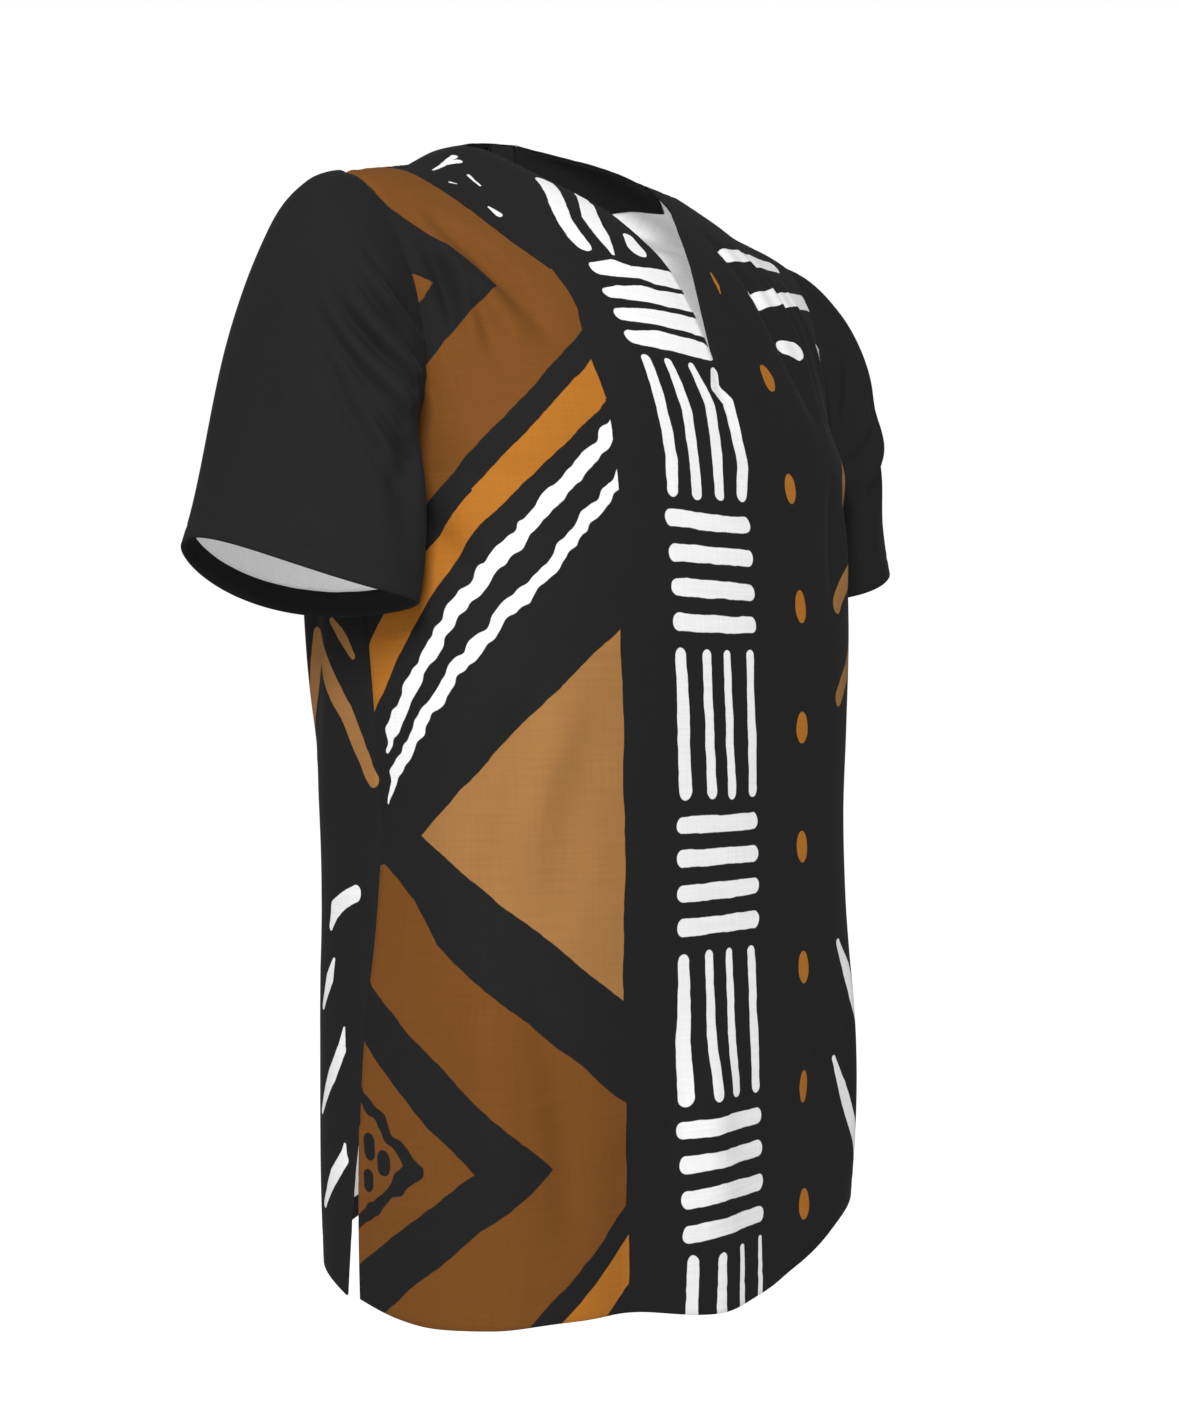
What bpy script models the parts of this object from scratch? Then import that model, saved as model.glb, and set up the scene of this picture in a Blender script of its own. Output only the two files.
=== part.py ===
"""Short-sleeved pull-on dashiki shirt, standing open as if filled by a wearer.

Five cloth pieces, each one closed wall: front, back, two sleeves and the
back-neck facing.  Built in millimetres and scaled to metres on output.
+Z is up, the wearer faces -Y, the wearer's left is +X.  The origin is midway
between the shoulders at the level of the neck points.
"""
import bpy
import numpy as np
from math import cos, pi, sin
from mathutils import Vector
from mathutils.bvhtree import BVHTree

# ------------------------------------------------------------------ driving sizes, mm
MM = 0.001
WALL = 2.0               # single cloth
HEM_WALL = 3.0           # cloth turned back on itself at hem and cuffs
SEAM_GAP = 0.3           # air between two sewn pieces
UNDERARM_Z = -240.0      # level of the underarm point
# Cuff of the wearer's right (-1) and left (1) sleeve: its centre; its half width across
# the arm and half depth front to back; the turn of its long axis about Z; the rise of its
# plane outward and backward; how far its lowest part hangs below that plane, and how far
# round from next to the body that part is.  Angles are in radians.
CUFFS = {
    # x, y, z, half wide, half deep, turn, rise out, rise back, droop, droop at
    -1: (262.0, 2.0, -291.0, 45.5, 78.5, -0.44, 0.11, 0.33, 46.0, -0.60),
    1: (259.0, 0.0, -268.5, 44.5, 83.0, -0.30, 0.26, 0.20, 18.0, 0.0)}
CAP_FULL = {-1: 11.0, 1: -14.0}   # extra fullness of each sleeve's cap, outward
SLEEVE_TAPER = {-1: 0.0, 1: 3.0}  # how much closer each sleeve runs to the arm above its cuff
SHOULDER_TILT = 0.015    # rise of the shoulders towards the wearer's left
TILT_LEVELS = (-200.0, -50.0)  # levels between which that tilt sets in
# How far the side slit stands open at each of its rows: row, front mm, back mm.
SLIT_OPEN = ((0, 0.0, 15.0), (1, 0.2, 12.0), (2, 0.4, 5.0))
FACING_DEEP = 40.0       # depth of the band inside the back neck
FACING_WALL = 1.2
FACING_GAP = 0.6         # air between the band and the back panel
FACING_END = 7.0         # how far short of each shoulder seam the band stops
FACING_TOP = 1.5         # how far inside the neck edge the band starts
FACING_COLUMNS = 23      # grid lines round the neck
FACING_ROWS = 5          # grid lines down the band
NECK_MIDDLE = np.array([0, 12, 30.0])  # a point in the middle of the neck opening
BODY_ROUND = (210.0, 125.0)  # half width and half depth that folds push away from
SHOULDER_FROM = 0.62     # row where the upper panel starts to ease into its shoulder seam
SLEEVE_CORE = 30.0       # how far inside the cuff's centre the sleeve's folds push from
FOLD_START = 3.2         # how fast sleeve folds rise from the armhole seam
MITRE_LIMIT = 2.8        # longest mitre at a seam, in walls
LEAST_LEAN = 0.05        # flattest lean that a mitre is worked out from
KEYS_PER_MM = 1000       # fineness with which two places count as one

SLEEVES = {-1: "sleeve_right", 1: "sleeve_left"}  # by side, +1 the wearer's left
COLUMNS = 13             # grid lines from the centre line to the side
SLEEVE_RINGS = 12        # rings from armhole to cuff
LOWER_ROWS = (0, .035, .10, .19, .27, .35, .43, .51, .59, .67, .75, .83, .92, 1)
UPPER_ROWS = (.075, .15, .225, .30, .37, .44, .51, .58, .65, .72, .80, .87, .94, 1)

# Body sections: level, half width, front depth, back depth, fullness of the
# front and back corners (0.55 is an ellipse), and how far back the side seam sits.
BODY = np.array([
    # z,   half, front, back, f_full, b_full, side_y
    [-240, 211, 128, 128, .76, .83, 4],
    [-320, 208, 133, 126, .78, .84, 2],
    [-400, 200, 131, 120, .82, .88, 2],
    [-460, 195, 129, 116, .84, .88, 2],
    [-520, 198, 129, 114, .84, .84, 3],
    [-600, 208, 132, 115, .82, .76, 4],
    [-700, 212, 133, 115, .80, .73, 4],
    [-790, 210, 131, 113, .78, .71, 3]], float)

# Hem level from the wearer's right side (-1) through the centre (0) to the left (1).
HEM_FRONT = np.array([
    # across, z
    [-1, -763], [-.92, -768], [-.83, -771], [-.6, -769], [-.36, -769], [-.2, -773],
    [0, -785], [.05, -783], [.167, -775], [.25, -763], [.333, -751], [.42, -745],
    [.5, -742], [.7, -742], [.9, -746], [1, -750]], float)
HEM_BACK = np.array([
    # across, z
    [-1, -763], [-.93, -758], [-.8, -751], [-.5, -740], [0, -735], [.5, -738],
    [.9, -746], [1, -750]], float)

# Armhole seam, underarm (0) to shoulder point (1).
ARM_FRONT = np.array([
    # w,   x,   y,   z
    [0, 211, 4, -240], [.13, 208, -31, -228], [.32, 205, -51, -190],
    [.52, 206, -51, -150], [.72, 210, -42, -105], [.87, 216, -23, -66],
    [.94, 219.5, -9, -49], [1, 222, 6, -42]], float)
ARM_BACK = np.array([
    # w,   x,  y,   z
    [0, 211, 4, -240], [.13, 211, 38, -226], [.32, 209, 56, -186],
    [.52, 210, 56, -146], [.72, 213, 50, -104], [.87, 217, 33, -66],
    [.94, 220, 20, -49], [1, 222, 6, -42]], float)

# Inner edge of the upper panels: centre line, then notch, then neckline.
FRONT_EDGE = (
    np.array([[0, 0, -128, -240], [.15, 0, -123, -200], [.30, 0, -116, -157]], float),
    np.array([[.30, 0, -116, -157], [.44, 6.3, -98.6, -115], [.58, 16, -81, -82],
              [.72, 35, -53, -50]], float),
    np.array([[.72, 35, -53, -50], [.80, 50, -36, -37], [.90, 66, -17, -24],
              [1, 84, 14, -4]], float))
BACK_EDGE = np.array([[0, 0, 128, -240], [.25, 0, 126, -160], [.48, 0, 112, -80],
                      [.62, 0, 92, -20], [.72, 0, 74, 25]], float)
# Back neckline on the wearer's right (-1) and left (1).
BACK_NECK = {
    -1: np.array([[.72, 0, 74, 25], [.80, 36, 66.5, 19], [.90, 75, 50, 8],
                  [1, 84, 14, -4]], float),
    1: np.array([[.72, 0, 74, 25], [.80, 36, 66, 22], [.90, 68, 45, 13.5],
                 [1, 84, 14, -4]], float)}
NOTCH_ROW = LOWER_ROWS.index(1) + 1 + UPPER_ROWS.index(.30)
BACK_NECK_ROW = LOWER_ROWS.index(1) + 1 + UPPER_ROWS.index(.72)

# Shoulder seam from neck point to shoulder point.
SHOULDER = np.array([
    # x, y, z
    [84, 14, -4], [111, 14, -6], [133, 13, -14], [155, 12, -24], [176, 10, -30],
    [197, 8, -35], [222, 6, -42]], float)

# Handles of each upper row: how it leaves the inner edge and meets the armhole.
FRONT_HANDLES = np.array([
    # w, leave x, y, z, meet x, y, z
    [0, 160.4, 0, 0, 0, -100.3, 0], [.15, 146, 0, 2, -4, -66, 2],
    [.32, 120, -2, 4, -18, -34, 4], [.52, 90, -6, 6, -30, -26, 8],
    [.72, 62, -6, 2, -36, -18, 12], [.88, 48, -4, 0, -40, -8, 13],
    [1, 46, 0, -2, -46, 2, 13]], float)
BACK_HANDLES = np.array([
    # w, leave x, y, z, meet x, y, z
    [0, 175.1, 0, 0, 0, 102.9, 0], [.15, 158, 0, 2, -2, 64, 2],
    [.32, 142, 0, 0, -10, 54, 4], [.52, 120, 0, 0, -22, 40, 10],
    [.72, 80, 6, -12, -34, 24, 14], [.88, 48, 9, -15, -42, 10, 14],
    [1, 46, 0, -2, -46, 2, 13]], float)

# How the sleeve leaves the armhole (front and back halves) and comes to the cuff.
SLEEVE_FRONT = np.array([
    # w, x, y, z
    [0, 22, -3, -24], [.20, 26, -20, -30], [.45, 46, -36, -24], [.70, 78, -34, -8],
    [.87, 87, -22, -3], [1, 90, 0, -15]], float)
SLEEVE_BACK = np.array([
    # w, x, y, z
    [0, 22, -3, -24], [.20, 26, 16, -30], [.45, 42, 26, -26], [.70, 66, 24, -12],
    [.87, 78, 14, -5], [1, 90, 0, -15]], float)
SLEEVE_END = np.array([
    # w, x, y, z
    [0, 0, -2, 26], [.3, -6, -3, 56], [.7, -32, -4, 84], [1, -44, -4, 88]], float)

# Largest folds: a line from one point to another on the cloth, how wide the
# fold is each side of the line, and its height (ridges +, troughs -).
BODY_FOLDS = np.array([
    # x0, y0, z0, x1, y1, z1, width, height
    [-182, -92, -775, -176, -96, -560, 24, 5.0],
    [-96, -128, -790, -84, -130, -640, 26, -7.0],
    [-12, -131, -790, -16, -131, -600, 30, 4.5],
    [-150, -112, -500, -120, -122, -370, 22, -3.5],
    [70, -128, -790, 62, -131, -640, 24, -4.0],
    [130, -120, -780, 120, -124, -560, 26, 2.0],
    [190, -60, -770, 186, -66, -600, 22, -4.0],
    [-190, 70, -780, -190, 70, -560, 20, -3.0],
    [-150, 96, -770, -144, 98, -560, 26, -5.0],
    [-70, 112, -770, -62, 114, -520, 30, 5.0],
    [20, 114, -770, 14, 116, -560, 28, -4.5],
    [110, 106, -770, 100, 112, -540, 28, 5.0],
    [176, 78, -770, 178, 78, -580, 24, -4.0],
    [-160, 100, -420, -110, 120, -300, 24, -4.0],
    [150, 104, -440, 96, 122, -310, 24, -4.0]], float)
SLEEVE_FOLDS = np.array([
    # x0, y0, z0, x1, y1, z1, width, height  (given for the wearer's left)
    [218, -48, -128, 262, -88, -176, 14, -4.0],
    [216, -50, -158, 262, -92, -226, 14, 3.5],
    [214, -54, -188, 250, -92, -272, 12, -4.0],
    [222, 54, -140, 268, 84, -200, 15, -4.0],
    [220, 58, -176, 262, 88, -262, 14, 3.5],
    [322, -26, -190, 334, -40, -300, 20, 3.0],
    [318, 40, -190, 322, 60, -300, 20, -3.0]], float)


# Main colour of each piece, linear, and how matte the cloth is.
COLOURS = {
    "front": (0.130, 0.060, 0.025), "back": (0.018, 0.018, 0.018),
    "sleeve_right": (0.020, 0.020, 0.020), "sleeve_left": (0.021, 0.021, 0.021),
    "neck_facing": (0.012, 0.012, 0.012)}
ROUGHNESS = 0.85


# ------------------------------------------------------------------ curve helpers
def smooth(table, where):
    """Value of a table's columns at one place of its first column, as a smooth curve."""
    xs = table[:, 0]
    ys = table[:, 1:]
    h = np.diff(xs)
    d = np.diff(ys, axis=0) / h[:, None]
    m = np.zeros_like(ys)
    m[1:-1] = (h[1:, None] * d[:-1] + h[:-1, None] * d[1:]) / (h[1:] + h[:-1])[:, None]
    m[0] = 1.5 * d[0] - 0.5 * m[1]
    m[-1] = 1.5 * d[-1] - 0.5 * m[-2]
    x = min(max(where, xs[0]), xs[-1])
    i = min(max(int(np.searchsorted(xs, x, side="right")) - 1, 0), len(xs) - 2)
    t = (x - xs[i]) / h[i]
    a = (1 + 2 * t) * (1 - t) ** 2
    b = t * (1 - t) ** 2
    c = t * t * (3 - 2 * t)
    e = t * t * (t - 1)
    return a * ys[i] + b * h[i] * m[i] + c * ys[i + 1] + e * h[i] * m[i + 1]


def arc(p0, p1, p2, p3, count):
    """Points along a cubic with end points p0, p3 and handles p1, p2."""
    u = np.linspace(0, 1, count)[:, None]
    v = 1 - u
    return v ** 3 * p0 + 3 * v * v * u * p1 + 3 * v * u * u * p2 + u ** 3 * p3


def unit(v):
    """Vector of length one."""
    return v / max(float(np.linalg.norm(v)), 1e-12)


# ------------------------------------------------------------------ surfaces
def body_row(z, back):
    """One quarter of a body section, from the centre line to the side seam."""
    table = BODY[::-1]
    half, front, rear, f_full, b_full, side_y = smooth(table, z)
    depth = rear if back else -front
    full = b_full if back else f_full
    start = np.array([0, depth, z])
    end = np.array([half, side_y, z])
    leave = start + np.array([half * full, 0, 0])
    meet = end + np.array([0, (depth - side_y) * full, 0])
    return arc(start, leave, meet, end, COLUMNS)


def lower_panel(back, side):
    """Rows from the hem up to the underarm on one side of the body."""
    hem = HEM_BACK if back else HEM_FRONT
    across = np.linspace(0, 1, COLUMNS)
    foot = [float(smooth(hem, side * f)[0]) for f in across]
    rows = []
    for t in LOWER_ROWS:
        row = [body_row(z + (UNDERARM_Z - z) * t, back)[j] for j, z in enumerate(foot)]
        rows.append(np.array(row))
    return rows


def inner_edge(w, back, side):
    """Point on the centre line, notch or neckline."""
    for piece in ((BACK_EDGE, BACK_NECK[side]) if back else FRONT_EDGE):
        if w <= piece[-1, 0] + 1e-9:
            return smooth(piece, w)
    return smooth(piece, 1)


def upper_row(w, back, side):
    """One row from the inner edge to the armhole, eased into the shoulder seam."""
    start = inner_edge(w, back, side)
    end = smooth(ARM_BACK if back else ARM_FRONT, w)
    handles = BACK_HANDLES if back else FRONT_HANDLES
    h = smooth(handles, w)
    row = arc(start, start + h[:3], end + h[3:], end, COLUMNS)
    last = handles[-1, 1:]
    plain = arc(SHOULDER[0], SHOULDER[0] + last[:3], SHOULDER[-1] + last[3:],
                SHOULDER[-1], COLUMNS)
    table = np.column_stack([SHOULDER[:, 0], SHOULDER])
    seam = np.array([smooth(table, x) for x in plain[:, 0]])
    t = min(max((w - SHOULDER_FROM) / (1 - SHOULDER_FROM), 0), 1)
    return row + t * t * (3 - 2 * t) * (seam - plain)


def cuff_point(turn, side):
    """Point of the cuff: 0 is next to the body, pi/2 the front, pi the outside."""
    x, y, z, half_wide, half_deep, heading, rise_out, rise_back, droop, droop_at = CUFFS[side]
    u = -half_wide * cos(turn)
    v = -half_deep * sin(turn)
    dx = u * cos(heading) - v * sin(heading)
    dy = u * sin(heading) + v * cos(heading)
    rise = rise_out * dx + rise_back * dy
    rise -= droop * (0.5 + 0.5 * cos(turn - droop_at)) ** 2
    return np.array([x + dx, y + dy, z + rise])


def share_of_armhole(table, w):
    """How far round the armhole a place is, by length, 0 to 1."""
    places = np.linspace(0, 1, 201)
    points = np.array([smooth(table, p) for p in places])
    run = np.concatenate([[0], np.cumsum(np.linalg.norm(np.diff(points, axis=0), axis=1))])
    return float(np.interp(w, places, run / run[-1]))


def sleeve_line(w, back, side):
    """One line down the sleeve, from armhole to cuff."""
    table = ARM_BACK if back else ARM_FRONT
    start = smooth(table, w)
    turn = pi * share_of_armhole(table, w) * (-1 if back else 1)
    end = cuff_point(turn, side)
    outer = np.array([w * w, 0, 0])
    leave = smooth(SLEEVE_BACK if back else SLEEVE_FRONT, w) + CAP_FULL[side] * outer
    come = smooth(SLEEVE_END, w) - SLEEVE_TAPER[side] * outer
    return arc(start, start + leave, end + come, end, SLEEVE_RINGS)


def fold_height(p, folds):
    """Height of all the folds at one point."""
    total = 0.0
    for row in folds:
        a = row[:3]
        line = row[3:6] - a
        t = float(np.dot(p - a, line) / np.dot(line, line))
        off = np.linalg.norm(p - a - min(max(t, 0), 1) * line)
        fade = 1 - min(max(t, 0), 1) ** 2
        total += row[7] * fade * np.exp(-(off / row[6]) ** 2)
    return total


def body_relief(p):
    """Body cloth pushed in or out by its folds, square to the upright axis."""
    out = unit(np.array([p[0] / BODY_ROUND[0] ** 2, p[1] / BODY_ROUND[1] ** 2, 0]))
    return p + out * fold_height(p, BODY_FOLDS)


def tilt(points):
    """Points with the shoulders' tilt."""
    low, high = TILT_LEVELS
    t = np.clip((points[..., 2] - low) / (high - low), 0, 1)
    lift = SHOULDER_TILT * points[..., 0] * t * t * (3 - 2 * t)
    return points + lift[..., None] * np.array([0, 0, 1])


def half_shirt(side):
    """Front, back and sleeve grids for one side, side +1 the wearer's left."""
    mirror = np.array([side, 1, 1])
    grids = {}
    for name, back in (("front", False), ("back", True)):
        rows = lower_panel(back, side) + [upper_row(w, back, side) for w in UPPER_ROWS]
        grid = tilt(np.array(rows) * mirror)
        grids[name] = np.array([[body_relief(p) for p in row] for row in grid])
    seam = LOWER_ROWS.index(1)
    loop = [(0.0, False)] + [(w, False) for w in UPPER_ROWS]
    loop += [(w, True) for w in UPPER_ROWS[-2::-1]]
    places = [grids["front"][seam + k][-1] for k in range(len(UPPER_ROWS) + 1)]
    places += [grids["back"][seam + k][-1] for k in range(len(UPPER_ROWS) - 1, 0, -1)]
    ease = (1 - np.linspace(0, 1, SLEEVE_RINGS)) ** 3
    rise = np.clip(np.linspace(0, FOLD_START, SLEEVE_RINGS), 0, 1)
    middle = np.array([CUFFS[side][0] - SLEEVE_CORE, CUFFS[side][1], 0])
    lines = []
    for (w, back), place in zip(loop, places):
        line = sleeve_line(w, back, side)
        for n, p in enumerate(line):
            out = unit((p - middle) * np.array([1, 1, 0]))
            line[n] = p + out * rise[n] * fold_height(p, SLEEVE_FOLDS)
        line = tilt(line * mirror)
        lines.append(line + ease[:, None] * (place - line[0]))
    grids["sleeve"] = np.array(lines)
    return grids


# ------------------------------------------------------------------ sheets and walls
class Sheet:
    """Outer face of one cloth piece: points, faces, and the wall at each point."""

    def __init__(self, name):
        self.name = name
        self.points = []
        self.faces = []
        self.wall = []
        self.index = {}

    def point(self, key, place, wall):
        """Number of the point with this key, made if it is new."""
        if key not in self.index:
            self.index[key] = len(self.points)
            self.points.append(np.array(place, float))
            self.wall.append(wall)
        return self.index[key]

    def face(self, corners, flip):
        """Add a face, turned over when flip is set."""
        self.faces.append(tuple(corners[::-1]) if flip else tuple(corners))


def panel_sheet(name, halves, back):
    """Front or back panel from its two half grids."""
    sheet = Sheet(name)
    split = BACK_NECK_ROW if back else NOTCH_ROW
    for side, grids in halves.items():
        grid = grids[name]
        rows = grid.shape[0]

        def number(i, j):
            key = (0 if (j == 0 and i <= split) else side, i, j)
            return sheet.point(key, grid[i][j], HEM_WALL if i < 2 else WALL)

        for i in range(rows - 1):
            for j in range(COLUMNS - 1):
                quad = [number(i, j), number(i, j + 1), number(i + 1, j + 1), number(i + 1, j)]
                sheet.face(quad, (side < 0) != back)
    return sheet


def sleeve_sheet(name, grid, side):
    """Sleeve tube, closed along its underarm."""
    sheet = Sheet(name)
    count = grid.shape[0]

    def number(k, n):
        thick = HEM_WALL if n == SLEEVE_RINGS - 1 else WALL
        return sheet.point((k % count, n), grid[k % count][n], thick)

    for k in range(count):
        for n in range(SLEEVE_RINGS - 1):
            quad = [number(k, n), number(k, n + 1), number(k + 1, n + 1), number(k + 1, n)]
            sheet.face(quad, side < 0)
    return sheet


def point_normals(points, faces):
    """Normal at every point, by the size of the faces round it."""
    normals = np.zeros((len(points), 3))
    for quad in faces:
        a, b, c, d = (points[n] for n in quad)
        n = np.cross(c - a, d - b)
        for corner in quad:
            normals[corner] += n
    return normals / np.maximum(np.linalg.norm(normals, axis=1), 1e-12)[:, None]


def place_key(p):
    """Key shared by points that lie on the same place of a seam."""
    return tuple(int(round(c * KEYS_PER_MM)) for c in p)


def seam_lines(halves):
    """Seam lines as lists of places, with the extra opening of each sheet there."""
    seams = []
    under = LOWER_ROWS.index(1)
    opening = {row: (front, back) for row, front, back in SLIT_OPEN}
    for side, grids in halves.items():
        sleeve = SLEEVES[side]
        front = grids["front"]
        flank = [front[i][-1] for i in range(under + 1)]
        extra = [{"front": opening.get(i, (0, 0))[0], "back": opening.get(i, (0, 0))[1]}
                 for i in range(under + 1)]
        seams.append((flank, False, ("front",), ("back",), extra))
        top = list(front[-1])
        seams.append((top, False, ("front",), ("back",), [{}] * len(top)))
        loop = [line[0] for line in grids["sleeve"]]
        seams.append((loop, True, ("front", "back"), (sleeve,), [{}] * len(loop)))
    return seams


def seam_frames(places, closed, first, second, own, lookup):
    """Across direction, mitre direction and reach at each place of a seam."""
    count = len(places)
    frames = []
    for k, p in enumerate(places):
        after = places[(k + 1) % count] if closed else places[min(k + 1, count - 1)]
        before = places[k - 1] if (closed or k > 0) else places[0]
        key = place_key(p)
        sides = []
        for group in (first, second):
            found = [own[name][lookup[name][key]] for name in group if key in lookup[name]]
            sides.append(unit(sum(found)))
        mitre = unit(sides[0] + sides[1])
        lean = float(np.dot(mitre, sides[0]))
        reach = min(1 / max(lean, LEAST_LEAN), MITRE_LIMIT)
        frames.append((unit(np.cross(unit(after - before), mitre)), mitre, reach))
    return frames


def thicken(sheets, halves):
    """Give every sheet its wall; seams share one mitre and stand SEAM_GAP apart."""
    own = {s.name: point_normals(s.points, s.faces) for s in sheets}
    by_name = {s.name: s for s in sheets}
    lookup = {s.name: {place_key(p): n for n, p in enumerate(s.points)} for s in sheets}
    shift = {s.name: np.zeros((len(s.points), 3)) for s in sheets}
    inward = {s.name: -own[s.name] * np.array(s.wall)[:, None] for s in sheets}
    for places, closed, first, second, extra in seam_lines(halves):
        frames = seam_frames(places, closed, first, second, own, lookup)
        for name in first + second:
            sheet = by_name[name]
            lean = 0.0
            members = []
            for k, (p, (across, mitre, reach)) in enumerate(zip(places, frames)):
                number = lookup[name].get(place_key(p))
                if number is None:
                    continue
                near = [q for f in sheet.faces if number in f for q in f]
                middle = sum(sheet.points[q] for q in near) / len(near)
                lean += float(np.dot(across, unit(middle - p)))
                members.append((k, number, across, mitre, reach))
            sign = 1 if lean > 0 else -1
            for k, number, across, mitre, reach in members:
                move = SEAM_GAP / 2 + extra[k].get(name, 0)
                shift[name][number] += across * sign * move
                inward[name][number] = -mitre * reach * sheet.wall[number]
    walls = {}
    for s in sheets:
        outer = np.array(s.points) + shift[s.name]
        walls[s.name] = (outer, outer + inward[s.name], s.faces)
    return walls


def boundary(faces):
    """Directed edges that have a face on one side only."""
    edges = set()
    for f in faces:
        for n, a in enumerate(f):
            edges.add((a, f[(n + 1) % len(f)]))
    return [(a, b) for a, b in edges if (b, a) not in edges]


def solid(outer, inner, faces):
    """Points and faces of the closed wall between two sheets."""
    count = len(outer)
    points = [tuple(p * MM) for p in np.concatenate([outer, inner])]
    closed = [tuple(f) for f in faces]
    closed += [tuple(n + count for n in f[::-1]) for f in faces]
    closed += [(b, a, a + count, b + count) for a, b in sorted(boundary(faces))]
    return points, closed


# ------------------------------------------------------------------ neck facing
def neck_line(halves):
    """Evenly spaced points along the back neck, from the right shoulder to the left."""
    rows = range(BACK_NECK_ROW, halves[1]["back"].shape[0])
    left = [halves[1]["back"][i][0] for i in rows]
    right = [halves[-1]["back"][i][0] for i in rows]
    line = np.array(right[::-1] + left[1:])
    run = np.concatenate([[0], np.cumsum(np.linalg.norm(np.diff(line, axis=0), axis=1))])
    along = np.linspace(FACING_END, run[-1] - FACING_END, FACING_COLUMNS)
    return np.column_stack([np.interp(along, run, line[:, c]) for c in range(3)])


def facing_wall(halves, back_wall):
    """Band inside the back neck, following the inner face of the back panel."""
    _, inner, faces = back_wall
    tree = BVHTree.FromPolygons([Vector(p) for p in inner], faces)
    line = neck_line(halves)
    outside = []
    inside = []
    for k, start in enumerate(line):
        tangent = unit(line[min(k + 1, len(line) - 1)] - line[max(k - 1, 0)])
        at, normal, _, _ = tree.find_nearest(Vector(start))
        heading = unit(np.cross(np.array(normal), tangent))
        if np.dot(heading, start - NECK_MIDDLE) < 0:
            heading = -heading
        spot = np.array(at) + heading * FACING_TOP
        for _ in range(FACING_ROWS):
            at, normal, _, _ = tree.find_nearest(Vector(spot))
            spot = np.array(at)
            n = np.array(normal)
            outside.append(spot - n * FACING_GAP)
            inside.append(spot - n * (FACING_GAP + FACING_WALL))
            heading = unit(heading - np.dot(heading, n) * n)
            spot = spot + heading * FACING_DEEP / (FACING_ROWS - 1)
    quads = []
    for k in range(len(line) - 1):
        for r in range(FACING_ROWS - 1):
            a = k * FACING_ROWS + r
            quads.append((a, a + FACING_ROWS, a + FACING_ROWS + 1, a + 1))
    middle = quads[len(quads) // 2][0]
    away = outside[middle] - inside[middle]
    if np.dot(point_normals(outside, quads)[middle], away) < 0:
        quads = [q[::-1] for q in quads]
    return np.array(outside), np.array(inside), quads


# ------------------------------------------------------------------ output
def fabric(name):
    """Matte cloth material of its own, in the piece's main colour."""
    material = bpy.data.materials.new(name + "_cloth")
    material.use_nodes = True
    shader = material.node_tree.nodes["Principled BSDF"]
    shader.inputs["Base Color"].default_value = (*COLOURS[name], 1)
    shader.inputs["Roughness"].default_value = ROUGHNESS
    shader.inputs["Metallic"].default_value = 0.0
    return material


def add_object(name, wall):
    """Mesh object of one closed wall."""
    points, faces = solid(*wall)
    mesh = bpy.data.meshes.new(name)
    mesh.from_pydata(points, [], faces)
    mesh.update()
    obj = bpy.data.objects.new(name, mesh)
    bpy.context.scene.collection.objects.link(obj)
    obj.data.materials.append(fabric(name))


def main():
    """Clear the file and build the five cloth pieces."""
    for obj in list(bpy.data.objects):
        bpy.data.objects.remove(obj, do_unlink=True)
    halves = {side: half_shirt(side) for side in (-1, 1)}
    sheets = [
        panel_sheet("front", halves, False),
        panel_sheet("back", halves, True),
        sleeve_sheet(SLEEVES[-1], halves[-1]["sleeve"], -1),
        sleeve_sheet(SLEEVES[1], halves[1]["sleeve"], 1)]
    walls = thicken(sheets, halves)
    walls["neck_facing"] = facing_wall(halves, walls["back"])
    for name, wall in walls.items():
        add_object(name, wall)


main()
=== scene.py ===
"""Looks of a short-sleeved dashiki shirt: shells of cloth, folds, print, hems, stitches, stage.

The shirt's sizes are in millimetres and become metres on the meshes.  +Z is up, the
wearer faces -Y, the wearer's left is +X, and z = 0 is the level of the neck points.
"""

import logging
from dataclasses import dataclass, field, replace
from enum import Enum
from math import cos, pi, radians, sin
from typing import Iterable, Sequence

import bpy
import numpy as np
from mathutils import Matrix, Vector
from mathutils.bvhtree import BVHTree


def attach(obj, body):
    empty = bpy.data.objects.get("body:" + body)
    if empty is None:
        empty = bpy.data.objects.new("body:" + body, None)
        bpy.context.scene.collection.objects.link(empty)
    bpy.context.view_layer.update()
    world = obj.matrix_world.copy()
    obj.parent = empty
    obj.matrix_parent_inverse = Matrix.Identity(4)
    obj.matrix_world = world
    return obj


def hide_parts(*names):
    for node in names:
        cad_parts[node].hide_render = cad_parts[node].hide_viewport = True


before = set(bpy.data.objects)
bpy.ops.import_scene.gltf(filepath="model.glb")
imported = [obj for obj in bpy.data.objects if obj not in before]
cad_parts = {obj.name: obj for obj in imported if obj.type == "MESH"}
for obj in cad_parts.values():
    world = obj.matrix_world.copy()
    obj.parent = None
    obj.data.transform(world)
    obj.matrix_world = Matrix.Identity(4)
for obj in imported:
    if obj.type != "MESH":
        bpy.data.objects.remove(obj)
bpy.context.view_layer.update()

log = logging.getLogger("dashiki")
Place = Sequence[float]
Shape = tuple[Place, ...]
Line = tuple[Place, ...]
Socket = bpy.types.NodeSocket

MM = 0.001


class Side(Enum):
    """Side of the wearer's body, as the sign of X."""

    RIGHT = -1
    LEFT = 1


class Finish(Enum):
    """Material slot of a shell's faces."""

    OUTSIDE = 0
    INSIDE = 1


# ------------ curves
def table(*rows: Sequence[float]) -> np.ndarray:
    """Field of a form that holds rows of its sizes, as an array."""
    return field(default_factory=lambda: np.array(rows, float))


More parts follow.
